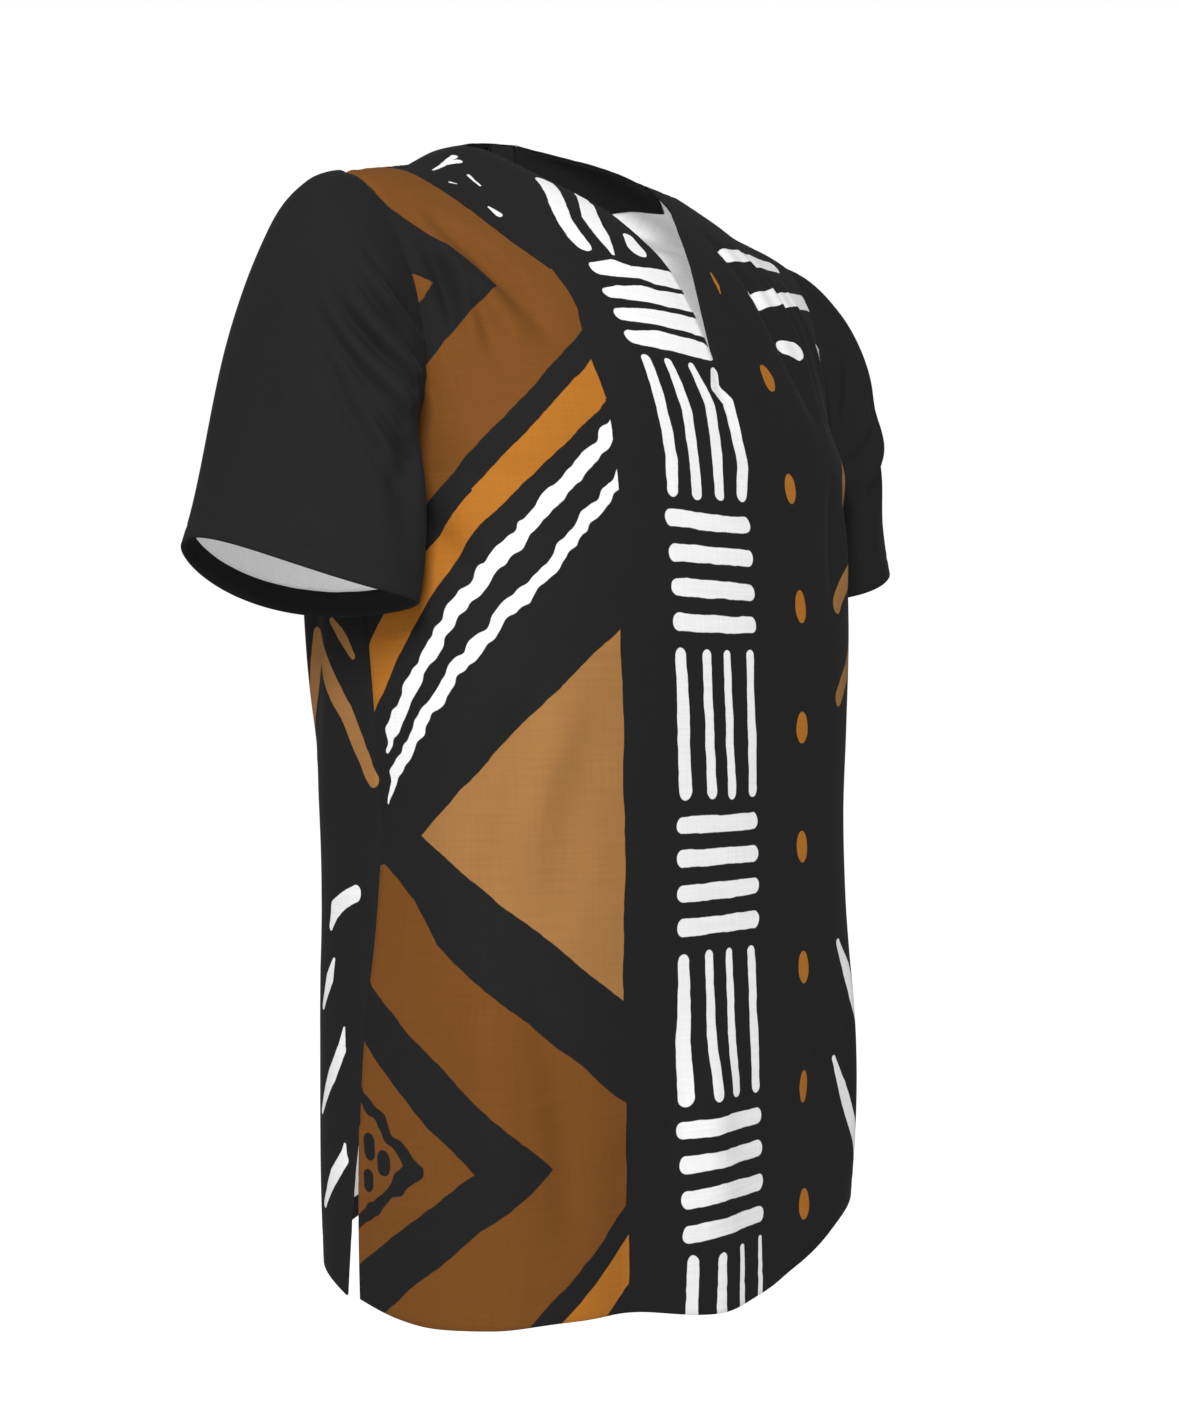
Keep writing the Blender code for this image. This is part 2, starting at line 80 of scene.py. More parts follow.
def eased(where: np.ndarray, low: float, high: float) -> np.ndarray:
    """Share of the way from low to high, which starts and ends softly."""
    t = np.clip((where - low) / (high - low), 0, 1)
    return t * t * (3 - 2 * t)


def smooth(rows: np.ndarray, where: np.ndarray | float) -> np.ndarray:
    """Smooth curve that passes every row of a table, by its first column.

    Args:
        rows: Rows of a place and the values there, places rising.
        where: Places to read, of any shape.

    Returns:
        The values at each place, in one more axis.
    """
    xs = rows[:, 0]
    ys = rows[:, 1:]
    h = np.diff(xs)
    d = np.diff(ys, axis=0) / h[:, None]
    m = np.zeros_like(ys)
    m[1:-1] = (h[1:, None] * d[:-1] + h[:-1, None] * d[1:]) / (h[1:] + h[:-1])[:, None]
    m[0] = 1.5 * d[0] - 0.5 * m[1]
    m[-1] = 1.5 * d[-1] - 0.5 * m[-2]
    x = np.clip(np.asarray(where, float), xs[0], xs[-1])
    i = np.clip(np.searchsorted(xs, x, side="right") - 1, 0, len(xs) - 2)
    step = h[i][..., None]
    t = ((x - xs[i]) / h[i])[..., None]
    start = (1 + 2 * t) * (1 - t) ** 2 * ys[i] + t * (1 - t) ** 2 * step * m[i]
    end = t * t * (3 - 2 * t) * ys[i + 1] + t * t * (t - 1) * step * m[i + 1]
    return start + end


def arc(p0: np.ndarray, p1: np.ndarray, p2: np.ndarray, p3: np.ndarray,
        u: np.ndarray) -> np.ndarray:
    """Points on cubics with ends p0, p3 and handles p1, p2.

    Args:
        p0, p1, p2, p3: Points of the cubics, in arrays of the same shape.
        u: Shares of the way along.

    Returns:
        The points, with u's shape ahead of the point's own axis.
    """
    v = 1 - u
    return v ** 3 * p0 + 3 * v * v * u * p1 + 3 * v * u * u * p2 + u ** 3 * p3


def unit(v: np.ndarray) -> np.ndarray:
    """Vectors of length one, along the last axis."""
    return v / np.maximum(np.linalg.norm(v, axis=-1, keepdims=True), 1e-12)


def run_along(points: np.ndarray) -> np.ndarray:
    """Length along lines of points.

    Args:
        points: Lines down the second last axis.

    Returns:
        The length from each line's start to each of its points.
    """
    steps = np.linalg.norm(np.diff(points, axis=-2), axis=-1)
    start = np.zeros(steps.shape[:-1] + (1,))
    return np.concatenate([start, np.cumsum(steps, axis=-1)], axis=-1)


def along(points: np.ndarray, run: np.ndarray, where: np.ndarray) -> np.ndarray:
    """Points at some lengths along a line.

    Args:
        points: Points of the line.
        run: Length from the line's start to each of them.
        where: Lengths at which to read it.

    Returns:
        The points there.
    """
    return np.stack([np.interp(where, run, points[:, k]) for k in range(3)], -1)


def stops(steps: int, close: Place) -> np.ndarray:
    """Even places from 0 to 1, with a few more close to the end.

    Args:
        steps: How many even steps there are.
        close: How far short of the end the others lie.

    Returns:
        The places in order.
    """
    return np.sort(np.concatenate([np.linspace(0, 1, steps + 1), 1 - np.array(close)]))


def ripple(run: np.ndarray, seed: int) -> np.ndarray:
    """Uneven ripple from -1 to 1, as a seam's stitches draw cloth up.

    Args:
        run: Length along the seam, in mm.
        seed: Number that sets this seam apart.

    Returns:
        The ripple's height at each length.
    """
    waves = ((11.0, .34), (17.0, .38), (29.0, .28))
    return sum(share * np.sin(2 * pi * run / length + seed * (2.1 + k))
               for k, (length, share) in enumerate(waves))


# ------------ the shirt's form
@dataclass(frozen=True)
class BodyForm:
    """Sizes of the front and back panels, as the solids have them."""

    underarm_z: float = -240.0
    columns: int = 78
    lower_rows: int = 140
    # Rows from the underarm to the notch's tip, to its corner, and to the shoulder seam.
    upper_rows: tuple[int, int, int] = (24, 36, 22)
    # Extra grid lines close to the seams, as shares short of them.
    near_seam: tuple[float, float] = (.004, .009)
    near_shoulder: tuple[float, float] = (.012, .028)
    # How far each panel's edge stands back along the side slit.
    slit_top: float = .215
    slit: np.ndarray = table(
        # row, front, back
        [0, 0, 15.0], [.045, .2, 11.5], [.12, .4, 6.5], [.17, .3, 3.4], [.215, 0, 0], [1, 0, 0])
    tip_row: float = .30
    corner_row: float = .72
    shoulder_from: float = .62

    # Level, half width, front depth, back depth, fullness of front and back corners,
    # and how far back the side seam sits.
    sections: np.ndarray = table(
        # z,   half, front, back, f_full, b_full, side_y
        [-790, 210, 131, 113, .78, .71, 3], [-700, 212, 133, 115, .80, .73, 4],
        [-600, 208, 132, 115, .82, .76, 4], [-520, 198, 129, 114, .84, .84, 3],
        [-460, 195, 129, 116, .84, .88, 2], [-400, 200, 131, 120, .82, .88, 2],
        [-320, 208, 133, 126, .78, .84, 2], [-240, 211, 128, 128, .76, .83, 4])
    # Hem level from the wearer's right side (-1) through the centre to the left (1).
    hem_front: np.ndarray = table(
        # across, z
        [-1, -763], [-.92, -768], [-.83, -771], [-.6, -769], [-.36, -769], [-.2, -773],
        [0, -785], [.05, -783], [.167, -775], [.25, -763], [.333, -751], [.42, -745],
        [.5, -742], [.7, -742], [.9, -746], [1, -750])
    hem_back: np.ndarray = table(
        # across, z
        [-1, -763], [-.93, -758], [-.8, -751], [-.5, -740], [0, -735], [.5, -738],
        [.9, -746], [1, -750])
    # Armhole seam, underarm (0) to shoulder point (1).
    arm_front: np.ndarray = table(
        # w,   x,   y,   z
        [0, 211, 4, -240], [.13, 208, -31, -228], [.32, 205, -51, -190],
        [.52, 206, -51, -150], [.72, 210, -42, -105], [.87, 216, -23, -66],
        [.94, 219.5, -9, -49], [1, 222, 6, -42])
    arm_back: np.ndarray = table(
        # w,   x,  y,   z
        [0, 211, 4, -240], [.13, 211, 38, -226], [.32, 209, 56, -186],
        [.52, 210, 56, -146], [.72, 213, 50, -104], [.87, 217, 33, -66],
        [.94, 220, 20, -49], [1, 222, 6, -42])
    # Inner edge of the upper panels: centre line, notch, neckline.
    edge_front: tuple[np.ndarray, ...] = field(default_factory=lambda: (
        np.array([[0, 0, -128, -240], [.15, 0, -123, -200], [.30, 0, -116, -157]], float),
        np.array([[.30, 0, -116, -157], [.44, 6.3, -98.6, -115], [.58, 16, -81, -82],
                  [.72, 35, -53, -50]], float),
        np.array([[.72, 35, -53, -50], [.80, 50, -36, -37], [.90, 66, -17, -24],
                  [1, 84, 14, -4]], float)))
    edge_back: np.ndarray = table(
        [0, 0, 128, -240], [.25, 0, 126, -160], [.48, 0, 112, -80],
        [.62, 0, 92, -20], [.72, 0, 74, 25])
    neck_back: dict[Side, np.ndarray] = field(default_factory=lambda: {
        Side.RIGHT: np.array([[.72, 0, 74, 25], [.80, 36, 66.5, 19], [.90, 75, 50, 8],
                              [1, 84, 14, -4]], float),
        Side.LEFT: np.array([[.72, 0, 74, 25], [.80, 36, 66, 22], [.90, 68, 45, 13.5],
                             [1, 84, 14, -4]], float)})
    # Rise of the shoulders towards the wearer's left, and the levels between which it sets in.
    tilt: float = .015
    tilt_levels: tuple[float, float] = (-200.0, -50.0)
    # Shoulder seam from neck point to shoulder point, with x first to read it by.
    shoulder: np.ndarray = table(
        # x,  x,   y,  z
        [84, 84, 14, -4], [111, 111, 14, -6], [133, 133, 13, -14], [155, 155, 12, -24],
        [176, 176, 10, -30], [197, 197, 8, -35], [222, 222, 6, -42])
    # How each upper row leaves the inner edge and meets the armhole.
    handles_front: np.ndarray = table(
        # w, leave x, y, z, meet x, y, z
        [0, 160.4, 0, 0, 0, -100.3, 0], [.15, 146, 0, 2, -4, -66, 2],
        [.32, 120, -2, 4, -18, -34, 4], [.52, 90, -6, 6, -30, -26, 8],
        [.72, 62, -6, 2, -36, -18, 12], [.88, 48, -4, 0, -40, -8, 13],
        [1, 46, 0, -2, -46, 2, 13])
    handles_back: np.ndarray = table(
        # w, leave x, y, z, meet x, y, z
        [0, 175.1, 0, 0, 0, 102.9, 0], [.15, 158, 0, 2, -2, 64, 2],
        [.32, 142, 0, 0, -10, 54, 4], [.52, 120, 0, 0, -22, 40, 10],
        [.72, 80, 6, -12, -34, 24, 14], [.88, 48, 9, -15, -42, 10, 14],
        [1, 46, 0, -2, -46, 2, 13])

    def places(self) -> np.ndarray:
        """Find the places of the upper rows.

        Returns:
            The places, from the underarm (0) to the shoulder seam (1).
        """
        ends = (0, self.tip_row, self.corner_row, 1)
        extra = ((), (), self.near_shoulder)
        spans = [a + (b - a) * stops(n, close)[1:]
                 for a, b, n, close in zip(ends, ends[1:], self.upper_rows, extra)]
        return np.concatenate(spans)

    def split_row(self, back: bool) -> int:
        """Row of the notch's tip in front, or of the neckline's middle at the back."""
        return self.lower_rows + sum(self.upper_rows[:2 if back else 1])

    def lower(self, side: Side, back: bool) -> np.ndarray:
        """Rows from the hem to the underarm.

        Args:
            side: Which half of the panel.
            back: True for the back panel.

        Returns:
            Points in mm, as rows by columns by 3, for +X.
        """
        u = stops(self.columns, self.near_seam)
        foot = smooth(self.hem_back if back else self.hem_front, side.value * u)[:, 0]
        t = np.linspace(0, 1, self.lower_rows + 1)[:, None]
        z = foot + (self.underarm_z - foot) * t
        half, front, rear, f_full, b_full, side_y = np.moveaxis(smooth(self.sections, z), -1, 0)
        depth = rear if back else -front
        full = b_full if back else f_full
        none = np.zeros_like(z)
        start = np.stack([none, depth, z], -1)
        leave = np.stack([half * full, depth, z], -1)
        meet = np.stack([half, side_y + (depth - side_y) * full, z], -1)
        end = np.stack([half, side_y, z], -1)
        speed = 3 * np.linalg.norm(end - meet, axis=-1, keepdims=True)
        stand_back = smooth(self.slit, t)[..., int(back)][..., None].clip(min=0)
        return arc(start, leave, meet, end, u[None, :, None] * (1 - stand_back / speed))

    def upper(self, side: Side, back: bool) -> np.ndarray:
        """Rows from just above the underarm to the shoulder seam, for +X.

        Args:
            side: Which half of the panel.
            back: True for the back panel.

        Returns:
            Points in mm, as rows by columns by 3.
        """
        w = self.places()
        u = stops(self.columns, self.near_seam)[None, :, None]
        edges = (self.edge_back, self.neck_back[side]) if back else self.edge_front
        start = np.array([smooth(next(e for e in edges if p <= e[-1, 0] + 1e-9), p) for p in w])
        end = smooth(self.arm_back if back else self.arm_front, w)
        handles = self.handles_back if back else self.handles_front
        h = smooth(handles, w)
        rows = arc(start[:, None], (start + h[:, :3])[:, None], (end + h[:, 3:])[:, None],
                   end[:, None], u)
        last = handles[-1, 1:]
        first, point = self.shoulder[0, 1:], self.shoulder[-1, 1:]
        plain = arc(first, first + last[:3], point + last[3:], point, u[0])
        seam = smooth(self.shoulder, plain[:, 0])
        share = eased(w, self.shoulder_from, 1)[:, None, None]
        return rows + share * (seam - plain)

    def half(self, side: Side, back: bool) -> np.ndarray:
        """One half of a panel, hem to shoulder seam, on its own side."""
        grid = np.concatenate([self.lower(side, back), self.upper(side, back)])
        return self.tilted(grid * np.array([side.value, 1, 1]))

    def tilted(self, points: np.ndarray) -> np.ndarray:
        """Points with the shoulders' tilt."""
        lift = self.tilt * points[..., 0] * eased(points[..., 2], *self.tilt_levels)
        return points + lift[..., None] * np.array([0, 0, 1])


@dataclass(frozen=True)
class Cuff:
    """Opening of one sleeve, and how full the cap above it is, in mm and radians."""

    centre: Place
    half_wide: float
    half_deep: float
    turn: float
    rise_out: float
    rise_back: float
    # How far its lowest part hangs, and how far round from next to the body that part is.
    droop: float
    droop_at: float
    cap_full: float
    taper: float

    def points(self, turn: np.ndarray) -> np.ndarray:
        """Points of the cuff for +X.

        Args:
            turn: How far round they are: 0 is next to the body, pi/2 the front.

        Returns:
            The points, in mm.
        """
        a = -self.half_wide * np.cos(turn)
        b = -self.half_deep * np.sin(turn)
        dx = a * cos(self.turn) - b * sin(self.turn)
        dy = a * sin(self.turn) + b * cos(self.turn)
        dz = self.rise_out * dx + self.rise_back * dy
        dz = dz - self.droop * (0.5 + 0.5 * np.cos(turn - self.droop_at)) ** 2
        return np.array(self.centre) + np.stack([dx, dy, dz], -1)


@dataclass(frozen=True)
class SleeveForm:
    """Sizes of the two sleeves, as the solids have them."""

    rings: int = 84
    # Steps along an armhole that even out how its lines spread round the cuff.
    fine_steps: int = 400
    # Rings between the armhole seam and the first even one, and the even rings of the hem.
    near_seam: tuple[float, float] = (.25, .55)
    hem_rings: int = 6
    hem_step: float = 2.6
    cuffs: dict[Side, Cuff] = field(default_factory=lambda: {
        Side.RIGHT: Cuff((262.0, 2.0, -291.0), 45.5, 78.5, -.44, .11, .33, 46.0, -.60, 11.0, 0),
        Side.LEFT: Cuff((259.0, 0, -268.5), 44.5, 83.0, -.30, .26, .20, 18.0, 0, -14.0, 3.0)})
    core: float = 30.0
    # How fast the folds and the creases grow from the armhole seam.
    fold_start: float = 3.2
    crease_start: float = 14.0
    # How a sleeve leaves the armhole, front and back, and how it comes to the cuff.
    leave_front: np.ndarray = table(
        # w, x, y, z
        [0, 22, -3, -24], [.20, 26, -20, -30], [.45, 46, -36, -24], [.70, 78, -34, -8],
        [.87, 87, -22, -3], [1, 90, 0, -15])
    leave_back: np.ndarray = table(
        # w, x, y, z
        [0, 22, -3, -24], [.20, 26, 16, -30], [.45, 42, 26, -26], [.70, 66, 24, -12],
        [.87, 78, 14, -5], [1, 90, 0, -15])
    come: np.ndarray = table(
        # w, x, y, z
        [0, 0, -2, 26], [.3, -6, -3, 56], [.7, -32, -4, 84], [1, -44, -4, 88])

    def lines(self, body: BodyForm, side: Side) -> tuple[np.ndarray, np.ndarray]:
        """Lines down the sleeve for +X, up its front from the underarm and down its back.

        Args:
            body: The panels that hold the armhole.
            side: Which sleeve.

        Returns:
            Points in mm, as lines by rings by 3, and how far down its line each lies,
            from the armhole (0) to the cuff (1).
        """
        w = body.places()
        u = np.linspace(0, 1, 4 * self.rings)[None, :, None]
        fine = np.linspace(0, 1, self.fine_steps + 1)
        cuff = self.cuffs[side]
        out = []
        for back in (False, True):
            hole = body.arm_back if back else body.arm_front
            run = run_along(smooth(hole, fine))
            where = w[-2::-1] if back else np.concatenate([[0], w])
            turn = pi * np.interp(where, fine, run / run[-1]) * (-1 if back else 1)
            start = smooth(hole, where)
            end = cuff.points(turn)
            outer = where[:, None] ** 2 * np.array([1, 0, 0])
            leave = smooth(self.leave_back if back else self.leave_front, where)
            leave = start + leave + cuff.cap_full * outer
            come = end + smooth(self.come, where) - cuff.taper * outer
            out.append(arc(start[:, None], leave[:, None], come[:, None], end[:, None], u))
        return self.even_rings(np.concatenate(out), u.ravel())

    def even_rings(self, lines: np.ndarray, u: np.ndarray) -> tuple[np.ndarray, np.ndarray]:
        """Rings at even steps down each line, with the hem's rings a fixed step apart.

        Args:
            lines: Fine points down each line.
            u: How far down its line each fine point lies.

        Returns:
            The rings' points, and how far down its line each lies.
        """
        run = run_along(lines)
        hem = self.hem_step * np.arange(self.hem_rings, -1, -1)
        even = np.linspace(0, 1, self.rings - self.hem_rings + 1)[:-1]
        even = np.sort(np.concatenate([even, even[1] * np.array(self.near_seam)]))
        points, share = [], []
        for line, own in zip(lines, run):
            at = np.concatenate([even * (own[-1] - hem[0]), own[-1] - hem])
            points.append(along(line, own, at))
            share.append(np.interp(at, own, u))
        return np.array(points), np.array(share)


# ------------ folds
class Folds:
    """Soft ridges and troughs, each along a line laid on the cloth."""

    # How far off its line's level a fold still moves cloth: in its widths, and in mm.
    off_widths = 4
    off_more = 30.0

    def __init__(self, rows: Iterable[Sequence[float]]) -> None:
        """Keep the folds.

        Args:
            rows: For each fold its start x, y, z, its end x, y, z, its width at the start
                and at the end, how far it bows sideways, and its height at the start,
                the middle and the end, all in mm.
        """
        self.rows = [np.array(row, float) for row in rows]

    def heights(self, points: np.ndarray, normals: np.ndarray) -> np.ndarray:
        """Sum of all the folds.

        Args:
            points: Points of the cloth, one a row, in mm.
            normals: The cloth's outward direction at each.

        Returns:
            How far each point moves out.
        """
        total = np.zeros(len(points))
        for row in self.rows:
            start, line = row[:3], row[3:6] - row[:3]
            wide0, wide1, bow, h0, h1, h2 = row[6:]
            length = float(np.linalg.norm(line))
            off = points - start
            t = off @ line / length ** 2
            near = np.clip(t, 0, 1)
            away = off - t[:, None] * line
            across = np.cross(normals, line / length)
            aside = np.sum(away * unit(across), axis=1) - 4 * bow * near * (1 - near)
            deep = np.sum(away * normals, axis=1)
            wide = wide0 + (wide1 - wide0) * near
            past = (t - near) * length
            height = (h0 * (1 - near) * (1 - 2 * near) + 4 * h1 * near * (1 - near)
                      + h2 * near * (2 * near - 1))
            total += height * np.exp(-(aside / wide) ** 2 - (past / wide) ** 2
                                     - (deep / (self.off_widths * wide + self.off_more)) ** 2)
        return total


# Largest folds of the body.
MAIN_FOLDS = Folds((
    # x0, y0, z0, x1, y1, z1, width0, width1, bow, h0, h1, h2
    (-182, -92, -775, -176, -96, -560, 24, 24, 0, 5.0, 3.75, 0),
    (-96, -128, -790, -84, -130, -640, 26, 26, 0, -7.0, -5.25, 0),
    (-12, -131, -790, -16, -131, -600, 30, 30, 0, 4.5, 3.4, 0),
    (-150, -112, -500, -120, -122, -370, 22, 22, 0, -3.5, -2.6, 0),
    (70, -128, -790, 62, -131, -640, 24, 24, 0, -4.0, -3.0, 0),
    (130, -120, -780, 120, -124, -560, 26, 26, 0, 2.0, 1.5, 0),
    (190, -60, -770, 186, -66, -600, 22, 22, 0, -4.0, -3.0, 0),
    (-190, 70, -780, -190, 70, -560, 20, 20, 0, -3.0, -2.2, 0),
    (-150, 96, -770, -144, 98, -560, 26, 26, 0, -5.0, -3.75, 0),
    (-70, 112, -770, -62, 114, -520, 30, 30, 0, 5.0, 3.75, 0),
    (20, 114, -770, 14, 116, -560, 28, 28, 0, -4.5, -3.4, 0),
    (110, 106, -770, 100, 112, -540, 28, 28, 0, 5.0, 3.75, 0),
    (176, 78, -770, 178, 78, -580, 24, 24, 0, -4.0, -3.0, 0),
    (-160, 100, -420, -110, 120, -300, 24, 24, 0, -4.0, -3.0, 0),
    (150, 104, -440, 96, 122, -310, 24, 24, 0, -4.0, -3.0, 0)))
# Smaller creases of the body.
BODY_CREASES = Folds((
    # Front, drawn from the wearer's right armhole to the chest.
    (-186, -38, -76, -130, -96, -157, 6, 10, 4, -2.2, -6.6, -1.0),
    (-196, -42, -92, -150, -86, -160, 7, 10, 4, 1.3, 4.8, 0.7),
    (-198, -44, -96, -190, -62, -150, 5.5, 6, 3, -2.2, -6.6, -2.2),
    (-188, -50, -100, -180, -72, -160, 5.5, 8, 3, 1.8, 4.4, 0.7),
    (-180, -62, -122, -168, -84, -176, 5.5, 8, 2, -0.9, -4.0, -0.4),
    (-206, -28, -250, -180, -88, -318, 9, 14, 0, -4.8, -5.3, -0.9),
    # Front, below the chest and down to the hem.
    (-162, -105, -381, -185, -71, -475, 13, 16, -6, -2.5, -5.8, -1.4),
    (-140, -114, -392, -168, -98, -500, 14, 18, -6, 1.4, 4.1, .7),
    (-170, -100, -542, -144, -118, -711, 12, 16, 8, -1.7, -5.4, -2.5),
    (-192, -80, -560, -186, -92, -700, 12, 16, 4, 1, 4.1, 2),
    (-60, -130, -560, -66, -130, -690, 12, 16, 5, -.5, -3.7, -2),
    (-21, -133, -612, -25, -136, -709, 14, 20, 0, .7, 3.7, 2.7),
    (96, -128, -600, 104, -124, -735, 13, 18, -4, -.7, -4.4, -3.4),
    (150, -110, -560, 148, -112, -720, 12, 16, 4, .8, 4.1, 2.4),
    (40, -130, -300, 52, -131, -470, 14, 20, 6, -.7, -3.1, -.7),
    # Front, drawn from the neck to the wearer's left underarm.
    (66, -58, -50, 122, -108, -184, 5.5, 9, -6, -2.4, -5.4, -1),
    (100, -52, -54, 140, -102, -178, 7, 10, 0, 1.4, 4.1, .7),
    (124, -44, -56, 150, -96, -180, 6, 9, 8, -1, -4.4, -1.4),
    (160, -46, -70, 190, -70, -165, 6, 9, 0, 1, 3.7, .8),
    (172, -50, -84, 203, -56, -158, 5.5, 7, -3, -1.7, -4.8, -2),
    (134, -112, -225, 122, -122, -315, 7, 9, 0, -1.4, -3.7, -.5),
    (152, -108, -235, 150, -112, -312, 6, 9, 0, 1, 3.4, .5),
    (206, -28, -250, 182, -86, -322, 9, 14, 0, -3.4, -4.1, -.7),
    (2, -117, -162, 12, -124, -216, 5.5, 9, 0, -2.4, -2, 0),
    # Back, soft level folds under the neck.
    (84, 66, -10, 150, 40, -14, 6.0, 6.0, 0, 1.2, 3.5, 1),
    (88, 74, -22, 172, 38, -26, 6.2, 6.2, 2, -1.7, -4.2, -1),
    (94, 78, -34, 176, 42, -37, 6.0, 6.5, 0, 1.4, 3.8, 1),
    (98, 80, -47, 180, 46, -50, 6.5, 7.5, -2, -1.5, -4, -1),
    (-168, 40, -28, -92, 76, -20, 6, 6, 3, -1, -3.4, -1.4),
    (-176, 46, -46, -96, 82, -40, 7, 8, -3, 1, 3.4, 1),
    (-70, 96, -52, 60, 98, -58, 9, 10, 6, -1.5, -4.6, -1.2),
    (-90, 108, -90, 40, 112, -104, 10, 12, -8, 1.2, 4.4, 1),
    # Back, drawn from each armhole to the shoulder blade.
    (-196, 52, -120, -150, 98, -190, 6, 11, -5, -2, -5.1, -.8),
    (-198, 54, -146, -150, 104, -222, 7, 11, -5, 1.4, 4.1, .7),
    (-204, 50, -180, -160, 104, -262, 7, 12, -4, -1.7, -4.8, -.7),
    (196, 50, -112, 146, 98, -176, 6, 11, 5, -2, -5.1, -.8),
    (198, 54, -140, 140, 108, -236, 7, 12, 5, 1.4, 3.7, .7),
    (206, 46, -186, 168, 100, -270, 7, 12, 4, -2, -4.4, -.5),
    # Back, down the sides and over the hips.
    (-200, 60, -300, -186, 84, -420, 12, 16, 4, -1.4, -4.8, -.8),
    (196, 66, -330, 184, 82, -450, 12, 16, -4, -1.4, -4.4, -.8),
    (-150, 108, -520, -120, 112, -640, 14, 18, -8, 1.4, 4.8, 1),
    (40, 118, -420, 62, 116, -560, 14, 18, 6, -1, -4.1, -1.4)))
# Creases of each sleeve, for +X.
SLEEVE_CREASES = {
    Side.RIGHT: Folds((
        (252, -50, -104, 214, -57, -150, 3.4, 3.6, 4, -1.5, -6.0, -4.8),
        (258, -50, -114, 222, -64, -157, 4.0, 4.2, 4, 0.8, 3.2, 2.2),
        (262, -52, -121, 226, -72, -172, 3.4, 3.8, 4, -1.5, -6.5, -4.8),
        (267, -50, -133, 234, -74, -182, 4.0, 4.4, 4, 0.8, 3.2, 2.2),
        (272, -42, -134, 236, -78, -190, 3.6, 4.0, 4, -1.8, -7.0, -4.8),
        (273, -44, -150, 240, -76, -204, 4.2, 4.8, 4, 0.8, 3.2, 2.2),
        (278, -30, -138, 242, -75, -214, 3.6, 4.2, 4, -1.5, -6.5, -4.2),
        (264, -60, -194, 234, -76, -238, 3.6, 4.2, 2, -1.5, -6.0, -4.0),
        (278, -36, -162, 246, -72, -250, 4.6, 6.0, 5, -1.2, -5.2, -3.0),
        (238, -78, -214, 236, -78, -300, 11, 13, 0, -2.5, -6.2, -2.5),
        (252, 58, -124, 222, 60, -182, 4.0, 4.8, -4, -1.2, -5.5, -3.5),
        (258, 58, -156, 228, 68, -220, 4.4, 5.2, -4, 0.8, 3.5, 1.8),
        (262, 56, -196, 238, 72, -262, 4.8, 6.0, -4, -1.0, -4.2, -1.8))),
    Side.LEFT: Folds((
        (232, -56, -120, 218, -64, -176, 5, 5.8, 0, -1, -4.4, -2.4),
        (240, -62, -130, 222, -68, -190, 5, 5.8, 2, .7, 3.1, 1.4),
        (244, -66, -140, 222, -70, -206, 5.2, 6.9, 3, -.8, -4.8, -2.4),
        (248, -70, -156, 224, -72, -222, 5.8, 6.9, 3, .7, 3.4, 1.4),
        (250, -70, -172, 224, -72, -240, 5.8, 8.0, 3, -.7, -4.4, -1.7),
        (258, 56, -128, 226, 62, -188, 5.8, 8.0, -4, -1, -4.1, -2),
        (270, 48, -156, 230, 74, -230, 6.9, 9.2, -4, .7, 3.7, 1.4),
        (276, 36, -186, 240, 74, -250, 6.9, 10.3, -4, -.7, -3.7, -1)))}
# Folds of a sleeve, given for the wearer's left.
SLEEVE_FOLDS = Folds((
    (218, -48, -128, 262, -88, -176, 14, 14, 0, -4.0, -3.0, 0),
    (216, -50, -158, 262, -92, -226, 14, 14, 0, 3.5, 2.6, 0),
    (214, -54, -188, 250, -92, -272, 12, 12, 0, -4.0, -3.0, 0),
    (222, 54, -140, 268, 84, -200, 15, 15, 0, -4.0, -3.0, 0),
    (220, 58, -176, 262, 88, -262, 14, 14, 0, 3.5, 2.6, 0),
    (322, -26, -190, 334, -40, -300, 20, 20, 0, 3.0, 2.25, 0),
    (318, 40, -190, 322, 60, -300, 20, 20, 0, -3.0, -2.25, 0)))


